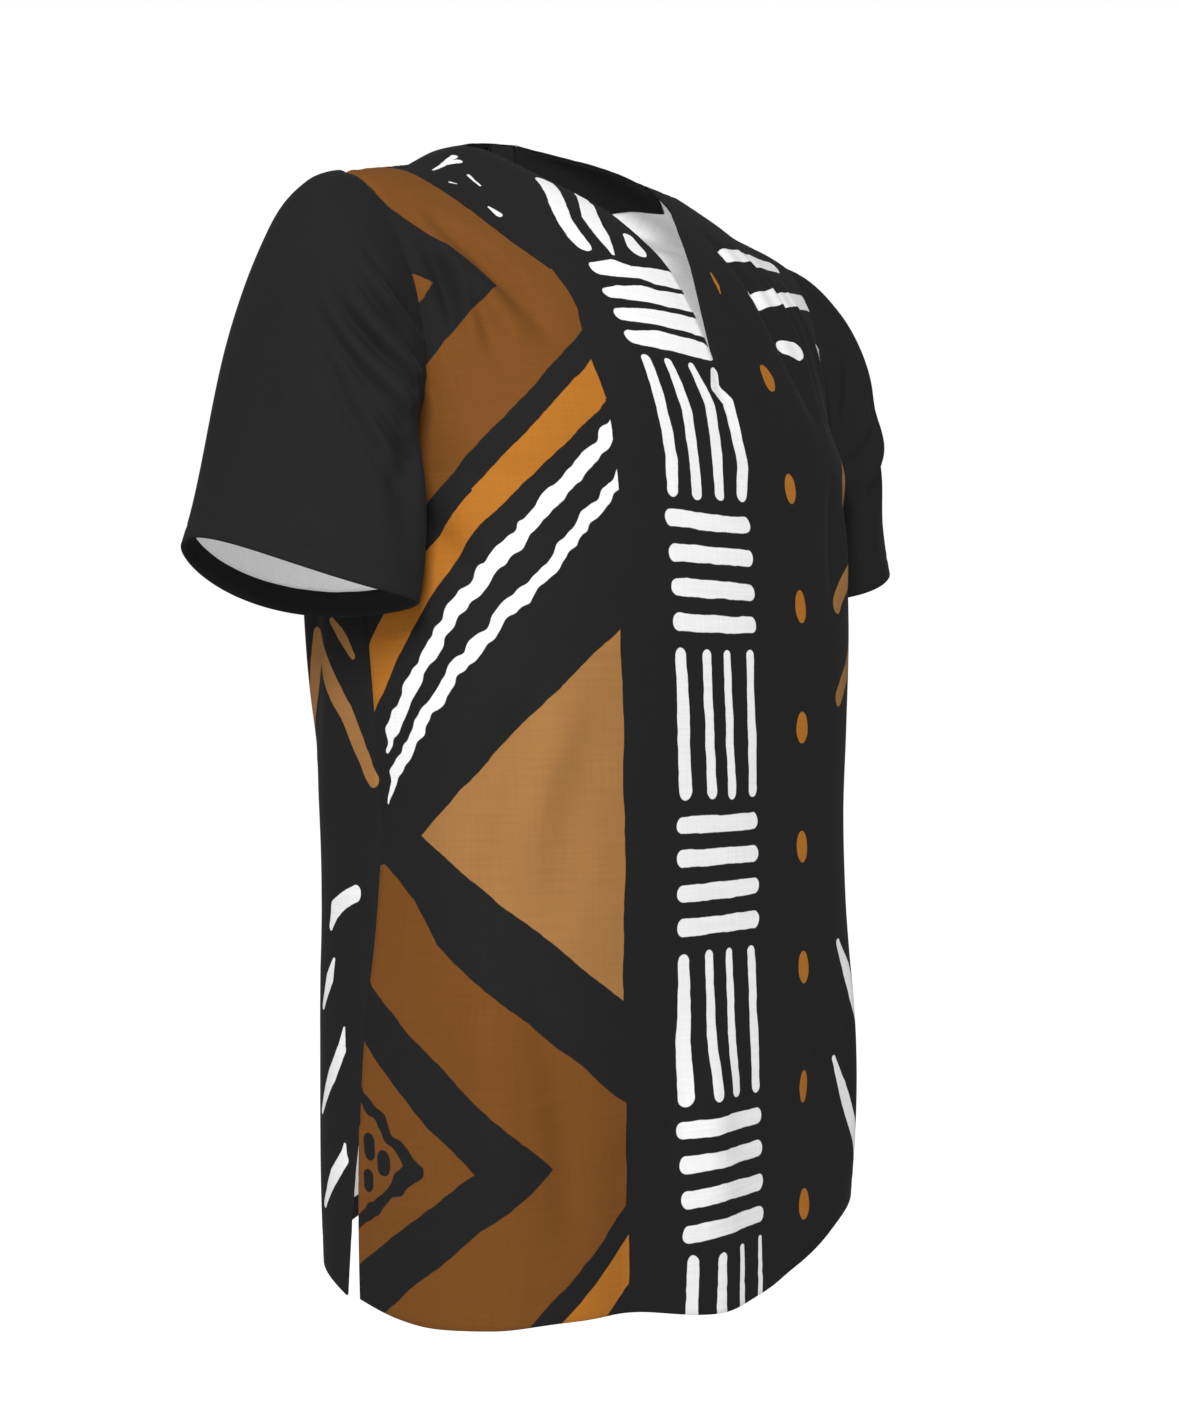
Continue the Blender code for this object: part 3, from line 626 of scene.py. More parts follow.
# ------------ cloth laid flat
@dataclass
class FlatCut:
    """The flat cut of one half panel, found by laying its grid out without stretch."""

    grid: np.ndarray
    split: int      # last row that is joined at the centre line
    lower_rows: int
    # Steps of the coarse grid, which is settled first: below the underarm, above it, across.
    row_step: tuple[int, int] = (10, 6)
    column_step: int = 5
    coarse_turns: int = 4000
    fine_turns: int = 300
    follow: float = .24      # share of the pull on a point that it follows at each turn

    def solve(self) -> np.ndarray:
        """Flat places of the grid's points.

        Returns:
            Across and up, in mm, as rows by columns by 2: across is 0 on the centre
            line, and up is 0 at the notch's tip or the middle of the back neck.
        """
        rows = np.concatenate([
            np.arange(0, self.lower_rows, self.row_step[0]),
            np.arange(self.lower_rows, len(self.grid), self.row_step[1])])
        columns = np.arange(0, self.grid.shape[1], self.column_step)
        coarse = self.grid[np.ix_(rows, columns)]
        split = int(np.searchsorted(rows, self.split))
        flat = self.settle(coarse, self.first_guess(coarse, split), split, self.coarse_turns)
        fine_rows = np.arange(len(self.grid))
        fine_columns = np.arange(self.grid.shape[1])
        flat = self.spread(rows, flat, fine_rows)
        flat = self.spread(columns, flat.transpose(1, 0, 2), fine_columns).transpose(1, 0, 2)
        return self.settle(self.grid, flat, self.split, self.fine_turns)

    @staticmethod
    def spread(at: np.ndarray, values: np.ndarray, fine: np.ndarray) -> np.ndarray:
        """Values between the lines of a coarse grid, along its first axis."""
        rows = np.column_stack([at, values.reshape(len(at), -1)])
        return smooth(rows, fine).reshape(len(fine), *values.shape[1:])

    @staticmethod
    def centre_line(grid: np.ndarray, split: int) -> np.ndarray:
        """Height of each centre point below the split's point."""
        run = run_along(grid[:split + 1, 0])
        return run - run[-1]

    def first_guess(self, grid: np.ndarray, split: int) -> np.ndarray:
        """Lay the rows and columns out roughly, each by its own length.

        Args:
            grid: The cloth in space.
            split: Last row that is joined at the centre line.

        Returns:
            The flat places.
        """
        across = run_along(grid)
        up = run_along(grid.transpose(1, 0, 2)).T
        height = self.centre_line(grid, split)
        edge = np.abs(grid[:, 0, 0])
        return np.stack([across + edge[:, None], up + height[0]], -1)

    def settle(self, grid: np.ndarray, flat: np.ndarray, split: int, turns: int) -> np.ndarray:
        """Move the flat points until neighbours are as far apart as on the cloth.

        Args:
            grid: The cloth in space.
            flat: Flat places to start from.
            split: Last row that is joined at the centre line.
            turns: How many times the points move.

        Returns:
            The settled flat places.
        """
        pairs = (
            (np.s_[:-1, :], np.s_[1:, :]), (np.s_[:, :-1], np.s_[:, 1:]),
            (np.s_[:-1, :-1], np.s_[1:, 1:]), (np.s_[:-1, 1:], np.s_[1:, :-1]))
        rests = [np.linalg.norm(grid[b] - grid[a], axis=-1) for a, b in pairs]
        height = self.centre_line(grid, split)
        flat = flat.copy()
        for _ in range(turns):
            move = np.zeros_like(flat)
            for (a, b), rest in zip(pairs, rests):
                gap = flat[b] - flat[a]
                size = np.maximum(np.linalg.norm(gap, axis=-1), 1e-9)
                pull = gap * (0.5 * (size - rest) / size)[..., None]
                move[a] += pull
                move[b] -= pull
            flat += self.follow * move
            flat[:split + 1, 0, 0] = 0
            flat[:split + 1, 0, 1] = height
        return flat


# Where the cloth lies next to its flat cut: up, then how far the print has slid across
# and up, as the open notch draws the chest aside.
PRINT_SLIDE = np.array([
    # up, across, up
    [-700, -8, 0], [-600, -6, 0], [-480, -1, 0], [-330, -4, 0], [-250, -1, 0], [-170, 4, 0],
    [-94, 8, 0], [-50, 12, 3], [0, 19, 8], [30, 28, 15], [60, 40, 26], [90, 48, 34],
    [150, 38, 44], [260, 20, 50]], float)


# ------------ shells
@dataclass(frozen=True)
class Tug:
    """How a line of stitches draws cloth in, in mm, with a number that sets its ripple."""

    sink: float
    wide: float
    pucker: float
    reach: float
    seed: int

    def on(self, side: Side) -> "Tug":
        """The same pull, with a ripple of its own on each side of the shirt."""
        return replace(self, seed=self.seed + side.value)


CUFF_TUG = Tug(.30, 1.8, .35, 7.0, 2)
HEM_TUG = Tug(.30, 1.8, .30, 7.0, 3)
SLIT_TUG = replace(HEM_TUG, seed=5)
NECK_TUG = replace(HEM_TUG, seed=7)
SIDE_TUG = Tug(1.1, 2.2, .55, 9.0, 11)
SHOULDER_TUG = Tug(.9, 2.2, .4, 9.0, 21)
ARMHOLE_TUG = Tug(1.2, 2.4, .8, 11.0, 31)
UNDERARM_TUG = Tug(.7, 1.8, .3, 7.0, 41)
SEAM_BAND = 7      # grid lines beside a seam that it may move


def quads_of(number: np.ndarray) -> np.ndarray:
    """Faces between the points of a grid, given as their numbers."""
    return np.stack([number[:-1, :-1], number[:-1, 1:], number[1:, 1:], number[1:, :-1]],
                    -1).reshape(-1, 4)


def add_object(name: str, data: bpy.types.ID) -> bpy.types.Object:
    """New object with the given data, in the scene."""
    made = bpy.data.objects.new(name, data)
    bpy.context.scene.collection.objects.link(made)
    return made


def make_piece(name: str, points: np.ndarray, faces: list[list[int]]) -> bpy.types.Object:
    """Smoothly shaded piece, placed by its points.

    Args:
        name: The piece's name.
        points: Its points, in mm.
        faces: Numbers of each face's corners.

    Returns:
        The new object.
    """
    mesh = bpy.data.meshes.new(name)
    mesh.from_pydata((points * MM).tolist(), [], faces)
    mesh.polygons.foreach_set("use_smooth", [True] * len(faces))
    mesh.update()
    return add_object(name, mesh)


class Shell:
    """One piece of cloth: an outer face, an inner face and the edges between them."""

    # How far the rounded edges stand out, as a share of the thickness.
    rim_swell = 0.4

    def __init__(self, name: str, wall: float = 1.0) -> None:
        """Start an empty shell.

        Args:
            name: The piece's name.
            wall: Thickness of the single cloth, in mm.
        """
        self.name = name
        self.wall = wall
        self.sewn: set[int] = set()
        self.lay(np.zeros((0, 3)), np.zeros((0, 2)), np.zeros((0, 4), int))

    def lay(self, points: np.ndarray, flat: np.ndarray, faces: np.ndarray) -> None:
        """Lay the shell out as single cloth.

        Args:
            points: Points of the outer face, in mm.
            flat: Each point's place on the flat cut, in mm.
            faces: Numbers of each face's four corners.
        """
        self.points, self.flat, self.faces = points, flat, faces
        self.thick = np.full(len(points), self.wall)
        self.hemmed = np.zeros(len(points), bool)

    def normals(self) -> np.ndarray:
        """Find where the cloth faces.

        Returns:
            The outward direction at each point.
        """
        a, b, c, d = (self.points[self.faces[:, k]] for k in range(4))
        face = np.cross(c - a, d - b)
        total = np.zeros_like(self.points)
        for k in range(4):
            np.add.at(total, self.faces[:, k], face)
        return unit(total)

    def inner(self) -> np.ndarray:
        """Points of the inner face."""
        return self.points - self.normals() * self.thick[:, None]

    def turn_in(self, where: np.ndarray, wall: float = 2.0) -> None:
        """Make a turned hem of some points: double cloth that shows its outside within.

        Args:
            where: Numbers of the points.
            wall: Thickness of the hem, in mm.
        """
        self.thick[where] = wall
        self.hemmed[where] = True

    def draw_in(self, line: np.ndarray, near: np.ndarray, tug: Tug,
                heading: np.ndarray | None = None) -> None:
        """Sink the cloth along a line of stitches, with small puckers beside it.

        Args:
            line: Numbers of the points on the line, in order.
            near: Numbers of the points that may move.
            tug: How hard the stitches pull.
            heading: Outward direction at each point of a line that two pieces share.
        """
        normals = self.normals()
        seam = self.points[line]
        run = run_along(seam)
        gap = np.linalg.norm(self.points[near][:, None] - seam[None], axis=2)
        nearest = gap.argmin(axis=1)
        away = gap.min(axis=1)
        share = np.exp(-(away / tug.wide) ** 2)
        out = normals[near]
        if heading is not None:
            out = unit(out * (1 - share[:, None]) + heading[nearest] * share[:, None])
        beside = np.exp(-(away / tug.reach) ** 2) - share
        height = tug.pucker * ripple(run[nearest], tug.seed) * beside - tug.sink * share
        self.points[near] += out * height[:, None]

    def edge_loop(self) -> np.ndarray:
        """Find the edges that have a face on one side only.

        Returns:
            Each edge's two points, in the order of its face.
        """
        ends = np.concatenate([self.faces[:, [k, (k + 1) % 4]] for k in range(4)])
        found = {(int(a), int(b)) for a, b in ends}
        return np.array(sorted((a, b) for a, b in found if (b, a) not in found))

    def area(self) -> float:
        """Area of the outer face, in square metres."""
        a, b, c, d = (self.points[self.faces[:, k]] for k in range(4))
        return float(np.linalg.norm(np.cross(c - a, d - b), axis=1).sum() / 2 * MM * MM)

    def build(self, outside: bpy.types.Material, inside: bpy.types.Material
              ) -> bpy.types.Object:
        """Mesh object of the shell, closed round its edges.

        Args:
            outside: Finish of the outer face, the edges and what is turned in at hems.
            inside: Finish of the inner face.

        Returns:
            The new object.
        """
        count = len(self.points)
        edges = self.edge_loop()
        rim = np.unique(edges)
        number = {int(p): 2 * count + k for k, p in enumerate(rim)}
        centres = self.points[self.faces].mean(axis=1)
        pull = np.zeros_like(self.points)
        for k in range(4):
            np.add.at(pull, self.faces[:, k], self.points[self.faces[:, k]] - centres)
        normals = self.normals()
        pull -= np.sum(pull * normals, axis=1)[:, None] * normals
        inner = self.inner()
        swell = self.rim_swell * self.thick[rim, None] * unit(pull)[rim]
        swell[np.isin(rim, list(self.sewn))] = 0
        middle = (self.points[rim] + inner[rim]) / 2 + swell
        faces = self.faces.tolist()
        faces += (self.faces[:, ::-1] + count).tolist()
        slots = [Finish.OUTSIDE.value] * len(self.faces)
        turned = self.hemmed[self.faces].all(axis=1)
        slots += [Finish.OUTSIDE.value if t else Finish.INSIDE.value for t in turned]
        for a, b in edges.tolist():
            faces.append([b, a, number[a], number[b]])
            faces.append([number[b], number[a], a + count, b + count])
        slots += [Finish.OUTSIDE.value] * (2 * len(edges))
        piece = make_piece(self.name, np.concatenate([self.points, inner, middle]), faces)
        mesh = piece.data
        mesh.polygons.foreach_set("material_index", slots)
        places = np.concatenate([self.flat, self.flat, self.flat[rim]]) * MM
        self.lay_uv(mesh, places, len(self.faces))
        self.mark_seams(mesh, count)
        mesh.materials.append(outside)
        mesh.materials.append(inside)
        mesh.update()
        return piece

    @staticmethod
    def lay_uv(mesh: bpy.types.Mesh, places: np.ndarray, count: int) -> None:
        """Give the mesh its flat cut, in metres, and a layout of all its faces in a square.

        In the square the outer face lies on the left, the inner face on the right, and
        the faces of the edges in a row of small cells along the top.

        Args:
            mesh: The shell's mesh.
            places: Flat place of each point, in metres.
            count: How many faces the outer face has.
        """
        loops = np.zeros(len(mesh.loops), int)
        mesh.loops.foreach_get("vertex_index", loops)
        cloth = mesh.uv_layers.new(name="cloth")
        cloth.data.foreach_set("uv", places[loops].ravel())
        margin, half, top, inset = .004, .5, .97, .1
        low = places.min(axis=0)
        room = np.array([half - 2 * margin, top - 2 * margin])
        square = margin + (places[loops] - low) / (places.max(axis=0) - low) * room
        square[4 * count:8 * count, 0] += half
        cells = len(mesh.polygons) - 2 * count
        corner = np.array([[0, 0], [1, 0], [1, 1], [0, 1]])
        cell = np.arange(cells)[:, None, None] * np.array([1, 0])
        cell = cell + inset + (1 - 2 * inset) * corner
        square[8 * count:] = (cell * np.array([1 / cells, 1 - top])).reshape(-1, 2)
        square[8 * count:, 1] += top
        baked = mesh.uv_layers.new(name="OFBake")
        baked.data.foreach_set("uv", square.ravel())

    def mark_seams(self, mesh: bpy.types.Mesh, count: int) -> None:
        """Keep a crisp shade where the piece is sewn to another.

        Args:
            mesh: The shell's mesh.
            count: How many points the outer face has.
        """
        ends = np.zeros(len(mesh.edges) * 2, int)
        mesh.edges.foreach_get("vertices", ends)
        sewn = np.isin(ends.reshape(-1, 2) % count, list(self.sewn))
        inside = (ends.reshape(-1, 2) < 2 * count).all(axis=1)
        mesh.attributes.new("sharp_edge", "BOOLEAN", "EDGE").data.foreach_set(
            "value", (sewn.all(axis=1) & inside).tolist())


@dataclass
class Panel:
    """Front or back panel, from its two halves."""

    name: str
    back: bool
    form: BodyForm
    # Grid line of the stitches: above the hem, in from the slit and in from the neck edge.
    hem_line: int = 4
    slit_line: int = -5
    neck_line: int = 2
    # How many grid lines beside a line of stitches it may move.
    beside: int = 3
    neck_wall: float = 2.0      # thickness of the front's neck edge
    shell: Shell = field(init=False)
    index: dict[Side, np.ndarray] = field(init=False)
    stitches: list[np.ndarray] = field(init=False, default_factory=list)

    def __post_init__(self) -> None:
        """Lay out both halves' points, faces and flat cut."""
        self.shell = Shell(self.name)
        self.index = {}
        split = self.form.split_row(self.back)
        points, flats, faces, count = [], [], [], 0
        for side in Side:
            grid = self.form.half(side, self.back)
            flat = FlatCut(grid, split, self.form.lower_rows).solve()
            flat = flat * np.array([side.value, 1])
            number = np.full(grid.shape[:2], -1)
            if self.index:
                number[:split + 1, 0] = self.index[Side.RIGHT][:split + 1, 0]
            new = number < 0
            number[new] = np.arange(count, count + new.sum())
            count += int(new.sum())
            points.append(grid[new])
            flats.append(flat[new])
            self.index[side] = number
            quads = quads_of(number)
            faces.append(quads[:, ::-1] if (side is Side.RIGHT) != self.back else quads)
        flat = np.concatenate(flats)
        if not self.back:
            flat = flat + smooth(PRINT_SLIDE, flat[:, 1])
        self.shell.lay(np.concatenate(points), flat, np.concatenate(faces))

    def half(self, side: Side) -> np.ndarray:
        """Points of one half, as rows by columns by 3."""
        return self.shell.points[self.index[side]]

    def slit_rows(self) -> int:
        """How many rows the side slit spans."""
        return int(self.form.slit_top * self.form.lower_rows)

    def flank(self, side: Side) -> np.ndarray:
        """Numbers of the points down the side seam, slit left out."""
        return self.index[side][self.slit_rows():self.form.lower_rows + 1, -1]

    def armhole(self, side: Side) -> np.ndarray:
        """Numbers of the points up the armhole, underarm first."""
        return self.index[side][self.form.lower_rows:, -1]

    def sew_hems(self) -> None:
        """Turn in the hem, the slit edges and the neck edge, and note their stitches."""
        split = self.form.split_row(self.back)
        slit = self.slit_rows()
        whole = np.concatenate([self.index[Side.RIGHT][:, :0:-1], self.index[Side.LEFT]], axis=1)
        for number in self.index.values():
            self.shell.turn_in(number[:self.hem_line + 1].ravel())
            self.shell.turn_in(number[:slit, self.slit_line:].ravel())
            neck = number[split:, :self.neck_line + 1].ravel()
            self.shell.turn_in(neck, self.shell.wall if self.back else self.neck_wall)
        hem = whole[self.hem_line, -self.slit_line - 1:self.slit_line]
        self.stitch(hem, whole[:self.hem_line + 1 + self.beside], HEM_TUG)
        for number in self.index.values():
            edge = number[self.hem_line + 1:slit + 1, self.slit_line]
            near = number[:slit + self.beside, self.slit_line - self.beside:]
            self.stitch(edge, near, SLIT_TUG)
            neck = number[split + 1:-1, self.neck_line]
            self.stitch(neck, number[split:, :self.neck_line + self.beside], NECK_TUG)

    def stitch(self, line: np.ndarray, near: np.ndarray, tug: Tug) -> None:
        """Sew a line of stitches.

        Args:
            line: Numbers of the points on the line, in order.
            near: Numbers of the points that may move.
            tug: How hard the stitches pull.
        """
        self.shell.draw_in(line, near.ravel(), tug)
        self.stitches.append(line)

    def fold(self, *folds: Folds) -> None:
        """Push the cloth in and out.

        Args:
            folds: The folds that do it.
        """
        normals = self.shell.normals()
        height = sum(f.heights(self.shell.points, normals) for f in folds)
        self.shell.points = self.shell.points + normals * height[:, None]


@dataclass
class Sleeve:
    """One sleeve, a tube sewn into the armhole of both panels."""

    name: str
    side: Side
    form: SleeveForm
    body: BodyForm
    # Grid line of the hem's stitches, and how many beside a line of stitches it may move.
    hem_line: int = -6
    beside: int = 4
    # Thickness of the first rings beside the armhole, where the cloth turns sharply.
    seam_wall: float = .35
    seam_rings: int = 4
    shell: Shell = field(init=False)
    grid: np.ndarray = field(init=False)
    down: np.ndarray = field(init=False)
    index: np.ndarray = field(init=False)
    stitches: list[np.ndarray] = field(init=False, default_factory=list)

    def __post_init__(self) -> None:
        """Lay out the lines down the tube, with their folds."""
        self.shell = Shell(self.name)
        self.grid, self.down = self.form.lines(self.body, self.side)
        mirror = np.array([self.side.value, 1, 1])
        x, y, _ = self.form.cuffs[self.side].centre
        middle = np.array([x - self.form.core, y, 0])
        out = unit((self.grid - middle) * np.array([1, 1, 0])).reshape(-1, 3)
        height = np.zeros(self.down.shape)
        for folds, start in ((SLEEVE_FOLDS, self.form.fold_start),
                             (SLEEVE_CREASES[self.side], self.form.crease_start)):
            deep = folds.heights(self.grid.reshape(-1, 3), out).reshape(self.down.shape)
            height += deep * np.clip(start * self.down, 0, 1)
        push = out.reshape(self.grid.shape) * height[..., None]
        self.grid = self.body.tilted((self.grid + push) * mirror)

    def join(self, front: Panel, back: Panel) -> None:
        """Start every line of the sleeve on the armhole of the panels.

        Args:
            front: The front panel, with its folds.
            back: The back panel, with its folds.
        """
        low = self.body.lower_rows
        hole = np.concatenate([front.half(self.side)[low:, -1],
                               back.half(self.side)[-2:low:-1, -1]])
        ease = (1 - self.down[..., None]) ** 3
        self.grid = self.grid + ease * (hole - self.grid[:, 0])[:, None]
        count, rings = self.grid.shape[:2]
        number = np.arange(count * rings).reshape(count, rings)
        number = np.concatenate([number, number[:1]])
        quads = quads_of(number)
        around = run_along(self.grid.transpose(1, 0, 2)).T
        down = run_along(self.grid)
        self.shell.lay(self.grid.reshape(-1, 3), np.stack([around, -down], -1).reshape(-1, 2),
                       quads[:, ::-1] if self.side is Side.RIGHT else quads)
        self.shell.thick[number[:, :self.seam_rings]] = self.seam_wall
        self.shell.sewn.update(number[:, 0].tolist() + number[0].tolist())
        self.index = number
        beside = np.concatenate([number[-self.beside:-1], number[:self.beside]])
        self.shell.draw_in(number[0], beside.ravel(), UNDERARM_TUG)
        self.shell.turn_in(number[:-1, -1 - self.form.hem_rings:].ravel())
        line = number[:, self.hem_line]
        near = number[:-1, self.hem_line - self.beside:].ravel()
        self.shell.draw_in(line, near, CUFF_TUG.on(self.side))
        self.stitches.append(line)


def sew(first: Shell, one: np.ndarray, near_one: np.ndarray,
        second: Shell, two: np.ndarray, near_two: np.ndarray, tug: Tug) -> None:
    """Sew two shells together along a line that both hold.

    Args:
        first, second: The two shells.
        one, two: Numbers of the seam's points in each, in the same order.
        near_one, near_two: Numbers of the points beside the seam that may move.
        tug: How hard the seam pulls.
    """
    heading = unit(first.normals()[one] + second.normals()[two])
    first.draw_in(one, near_one, tug, heading)
    second.draw_in(two, near_two, tug, heading)
    first.sewn.update(one.tolist())
    second.sewn.update(two.tolist())


def sew_body(front: Panel, back: Panel) -> None:
    """Close the side seams and the shoulder seams.

    Args:
        front: The front panel.
        back: The back panel.
    """
    for side in Side:
        low = front.form.lower_rows
        beside = [panel.index[side][panel.slit_rows():low + 1, -SEAM_BAND:].ravel()
                  for panel in (front, back)]
        sew(front.shell, front.flank(side), beside[0], back.shell, back.flank(side), beside[1],
            SIDE_TUG.on(side))
        top = [panel.index[side][-SEAM_BAND:].ravel() for panel in (front, back)]
        sew(front.shell, front.index[side][-1], top[0], back.shell, back.index[side][-1], top[1],
            SHOULDER_TUG.on(side))


def sew_armhole(sleeve: Sleeve, front: Panel, back: Panel) -> None:
    """Sew a sleeve into its armhole, front and back.

    Args:
        sleeve: The sleeve.
        front: The front panel.
        back: The back panel.
    """
    side = sleeve.side
    count = len(sleeve.index) - 1
    hole = sleeve.index[:count, 0]
    up = len(front.armhole(side))
    parts = ((front, hole[:up]), (back, np.concatenate([hole[:1], hole[:up - 2:-1]])))
    heading = sleeve.shell.normals()
    tug = ARMHOLE_TUG.on(side)
    for panel, line in parts:
        own = panel.armhole(side)
        beside = panel.index[side][panel.form.lower_rows:, -SEAM_BAND:].ravel()
        lean = unit(panel.shell.normals()[own] + heading[line])
        panel.shell.draw_in(own, beside, tug, lean)
        panel.shell.sewn.update(own.tolist())
        sleeve.shell.points[line] = panel.shell.points[own]
    ring = np.concatenate([hole, hole[:1]])
    sleeve.shell.draw_in(ring, sleeve.index[:count, 1:SEAM_BAND].ravel(), tug)


@dataclass
class NeckFacing:
    """Band of plain cloth inside the back of the neck."""

    back: Panel
    # Depth and thickness, the gap to the back's inner face, how far short of each shoulder
    # it ends and how far below the neck edge it starts, in mm.
    deep: float = 47.0
    wall: float = .9
    gap: float = .35
    end: float = 7.0
    top: float = .8
    columns: int = 90
    rows: int = 18
    neck_middle: Place = (0, 12, 30)
    stitch_row: int = 2
    shell: Shell = field(init=False)
    stitches: list[np.ndarray] = field(init=False, default_factory=list)

    def __post_init__(self) -> None:
        """Walk the band down the inner face of the back, all along the neck edge."""
        inner = self.back.shell.inner()
        tree = BVHTree.FromPolygons(inner.tolist(), self.back.shell.faces.tolist())
        line = self.neck_edge()
        run = run_along(line)
        points = np.zeros((self.columns, self.rows, 3))
        for k, start in enumerate(line):
            tangent = unit(line[min(k + 1, len(line) - 1)] - line[max(k - 1, 0)])
            at, normal, _, _ = tree.find_nearest(Vector(start))
            heading = unit(np.cross(np.array(normal), tangent))
            if np.dot(heading, start - np.array(self.neck_middle)) < 0:
                heading = -heading
            spot = np.array(at) + heading * self.top
            for r in range(self.rows):
                at, normal, _, _ = tree.find_nearest(Vector(spot))
                out = np.array(normal)
                points[k, r] = np.array(at) - out * self.gap
                heading = unit(heading - np.dot(heading, out) * out)
                spot = np.array(at) + heading * self.deep / (self.rows - 1)
        number = np.arange(self.columns * self.rows).reshape(self.columns, self.rows)
        down = np.linspace(0, self.deep, self.rows)
        flat = np.stack(np.broadcast_arrays(run[:, None], -down), -1).reshape(-1, 2)
        self.shell = Shell("neck_facing_cloth", self.wall)
        self.shell.lay(points.reshape(-1, 3), flat, quads_of(number))
        away = self.shell.points - np.array(self.neck_middle)
        if np.sum(self.shell.normals() * away) < 0:
            self.shell.faces = self.shell.faces[:, ::-1]
        self.stitches.append(number[1:-1, self.stitch_row])

    def neck_edge(self) -> np.ndarray:
        """Walk the back's neck edge from right to left, clear of the shoulders.

        Returns:
            Even places along it.
        """
        split = self.back.form.split_row(True)
        right, left = (self.back.half(side)[split:, 0] for side in Side)
        edge = np.concatenate([right[:0:-1], left])
        run = run_along(edge)
        where = np.linspace(self.end, run[-1] - self.end, self.columns)
        return along(edge, run, where)


# ------------ stitches
@dataclass(frozen=True)
class Stitching:
    """Stitches of black thread along the hems, on the inner face or on both, in mm."""

    pitch: float = 3.0
    length: float = 2.5
    thick: float = .38
    sides: int = 6
    rings: int = 5

    def one(self) -> tuple[np.ndarray, np.ndarray]:
        """One stitch, a spindle along X whose ends dip into the cloth.

        Returns:
            Its points in mm, and its faces as corners with -1 after a triangle's third.
        """
        bpy.ops.object.select_all(action="DESELECT")
        bpy.ops.mesh.primitive_uv_sphere_add(
            segments=self.sides, ring_count=self.rings, radius=.5, rotation=(0, pi / 2, 0),
            scale=(self.thick, self.thick, self.length))
        model = bpy.context.object
        bpy.ops.object.transform_apply(rotation=True, scale=True)
        points = np.array([v.co for v in model.data.vertices])
        faces = sorted(list(p.vertices) for p in model.data.polygons)
        bpy.data.objects.remove(model)
        return points, np.array([f + [-1] * (4 - len(f)) for f in faces])

    def sew(self, name: str, shell: Shell, lines: Iterable[np.ndarray],
            outside: bool) -> bpy.types.Object:
        """Stitches along lines of a shell's points, joined as one piece.

        Args:
            name: The piece's name.
            shell: The cloth that carries them.
            lines: Numbers of the points along each line.
            outside: True for stitches on the outer face too, not on the inner one alone.

        Returns:
            The new object.
        """
        normals = shell.normals()
        faces_of_cloth = [(shell.inner(), -normals)]
        if outside:
            faces_of_cloth.append((shell.points, normals))
        points, faces = self.one()
        corners, quads, count = [], [], 0
        for line in lines:
            for surface, out in faces_of_cloth:
                centre, ahead, up = self.places(surface[line], out[line])
                aside = np.cross(up, ahead)
                made = (centre[:, None] + points[None, :, :1] * ahead[:, None]
                        + points[None, :, 1:2] * aside[:, None]
                        + points[None, :, 2:] * up[:, None])
                offset = count + np.arange(len(centre))[:, None, None] * len(points)
                quads.append(np.where(faces[None] < 0, -1, faces[None] + offset).reshape(-1, 4))
                corners.append(made.reshape(-1, 3))
                count += made.shape[0] * made.shape[1]
        rows = [[c for c in row if c >= 0] for row in np.concatenate(quads).tolist()]
        return make_piece(name, np.concatenate(corners), rows)

    def places(self, line: np.ndarray, out: np.ndarray
               ) -> tuple[np.ndarray, np.ndarray, np.ndarray]:
        """Where each stitch of a line lies.

        Args:
            line: Points along the line.
            out: Outward direction at each.

        Returns:
            The centres, the directions along the line and the outward directions.
        """
        run = run_along(line)
        count = max(int(run[-1] / self.pitch), 1)
        where = (np.arange(count) + .5) * run[-1] / count
        centre = along(line, run, where)
        ahead = unit(along(line, run, where + 1) - along(line, run, where - 1))
        up = along(out, run, where)
        up = unit(up - np.sum(up * ahead, axis=1)[:, None] * ahead)
        return centre, ahead, up


# ------------ materials
def linear(red: int, green: int, blue: int) -> tuple[float, float, float, float]:
    """Turn a colour as a screen shows it into a linear one.

    Args:
        red, green, blue: Screen values from 0 to 255.

    Returns:
        The linear colour, with its alpha.
    """
    low, high = 0.04045, 12.92
    parts = [c / 255 for c in (red, green, blue)]
    parts = [c / high if c <= low else ((c + 0.055) / 1.055) ** 2.4 for c in parts]
    return (*parts, 1.0)


def set_sockets(shader: bpy.types.Node, values: dict[str, object]) -> None:
    """Set a shader's own sockets to plain values, by name."""
    for name, value in values.items():
        shader.inputs[name].default_value = value


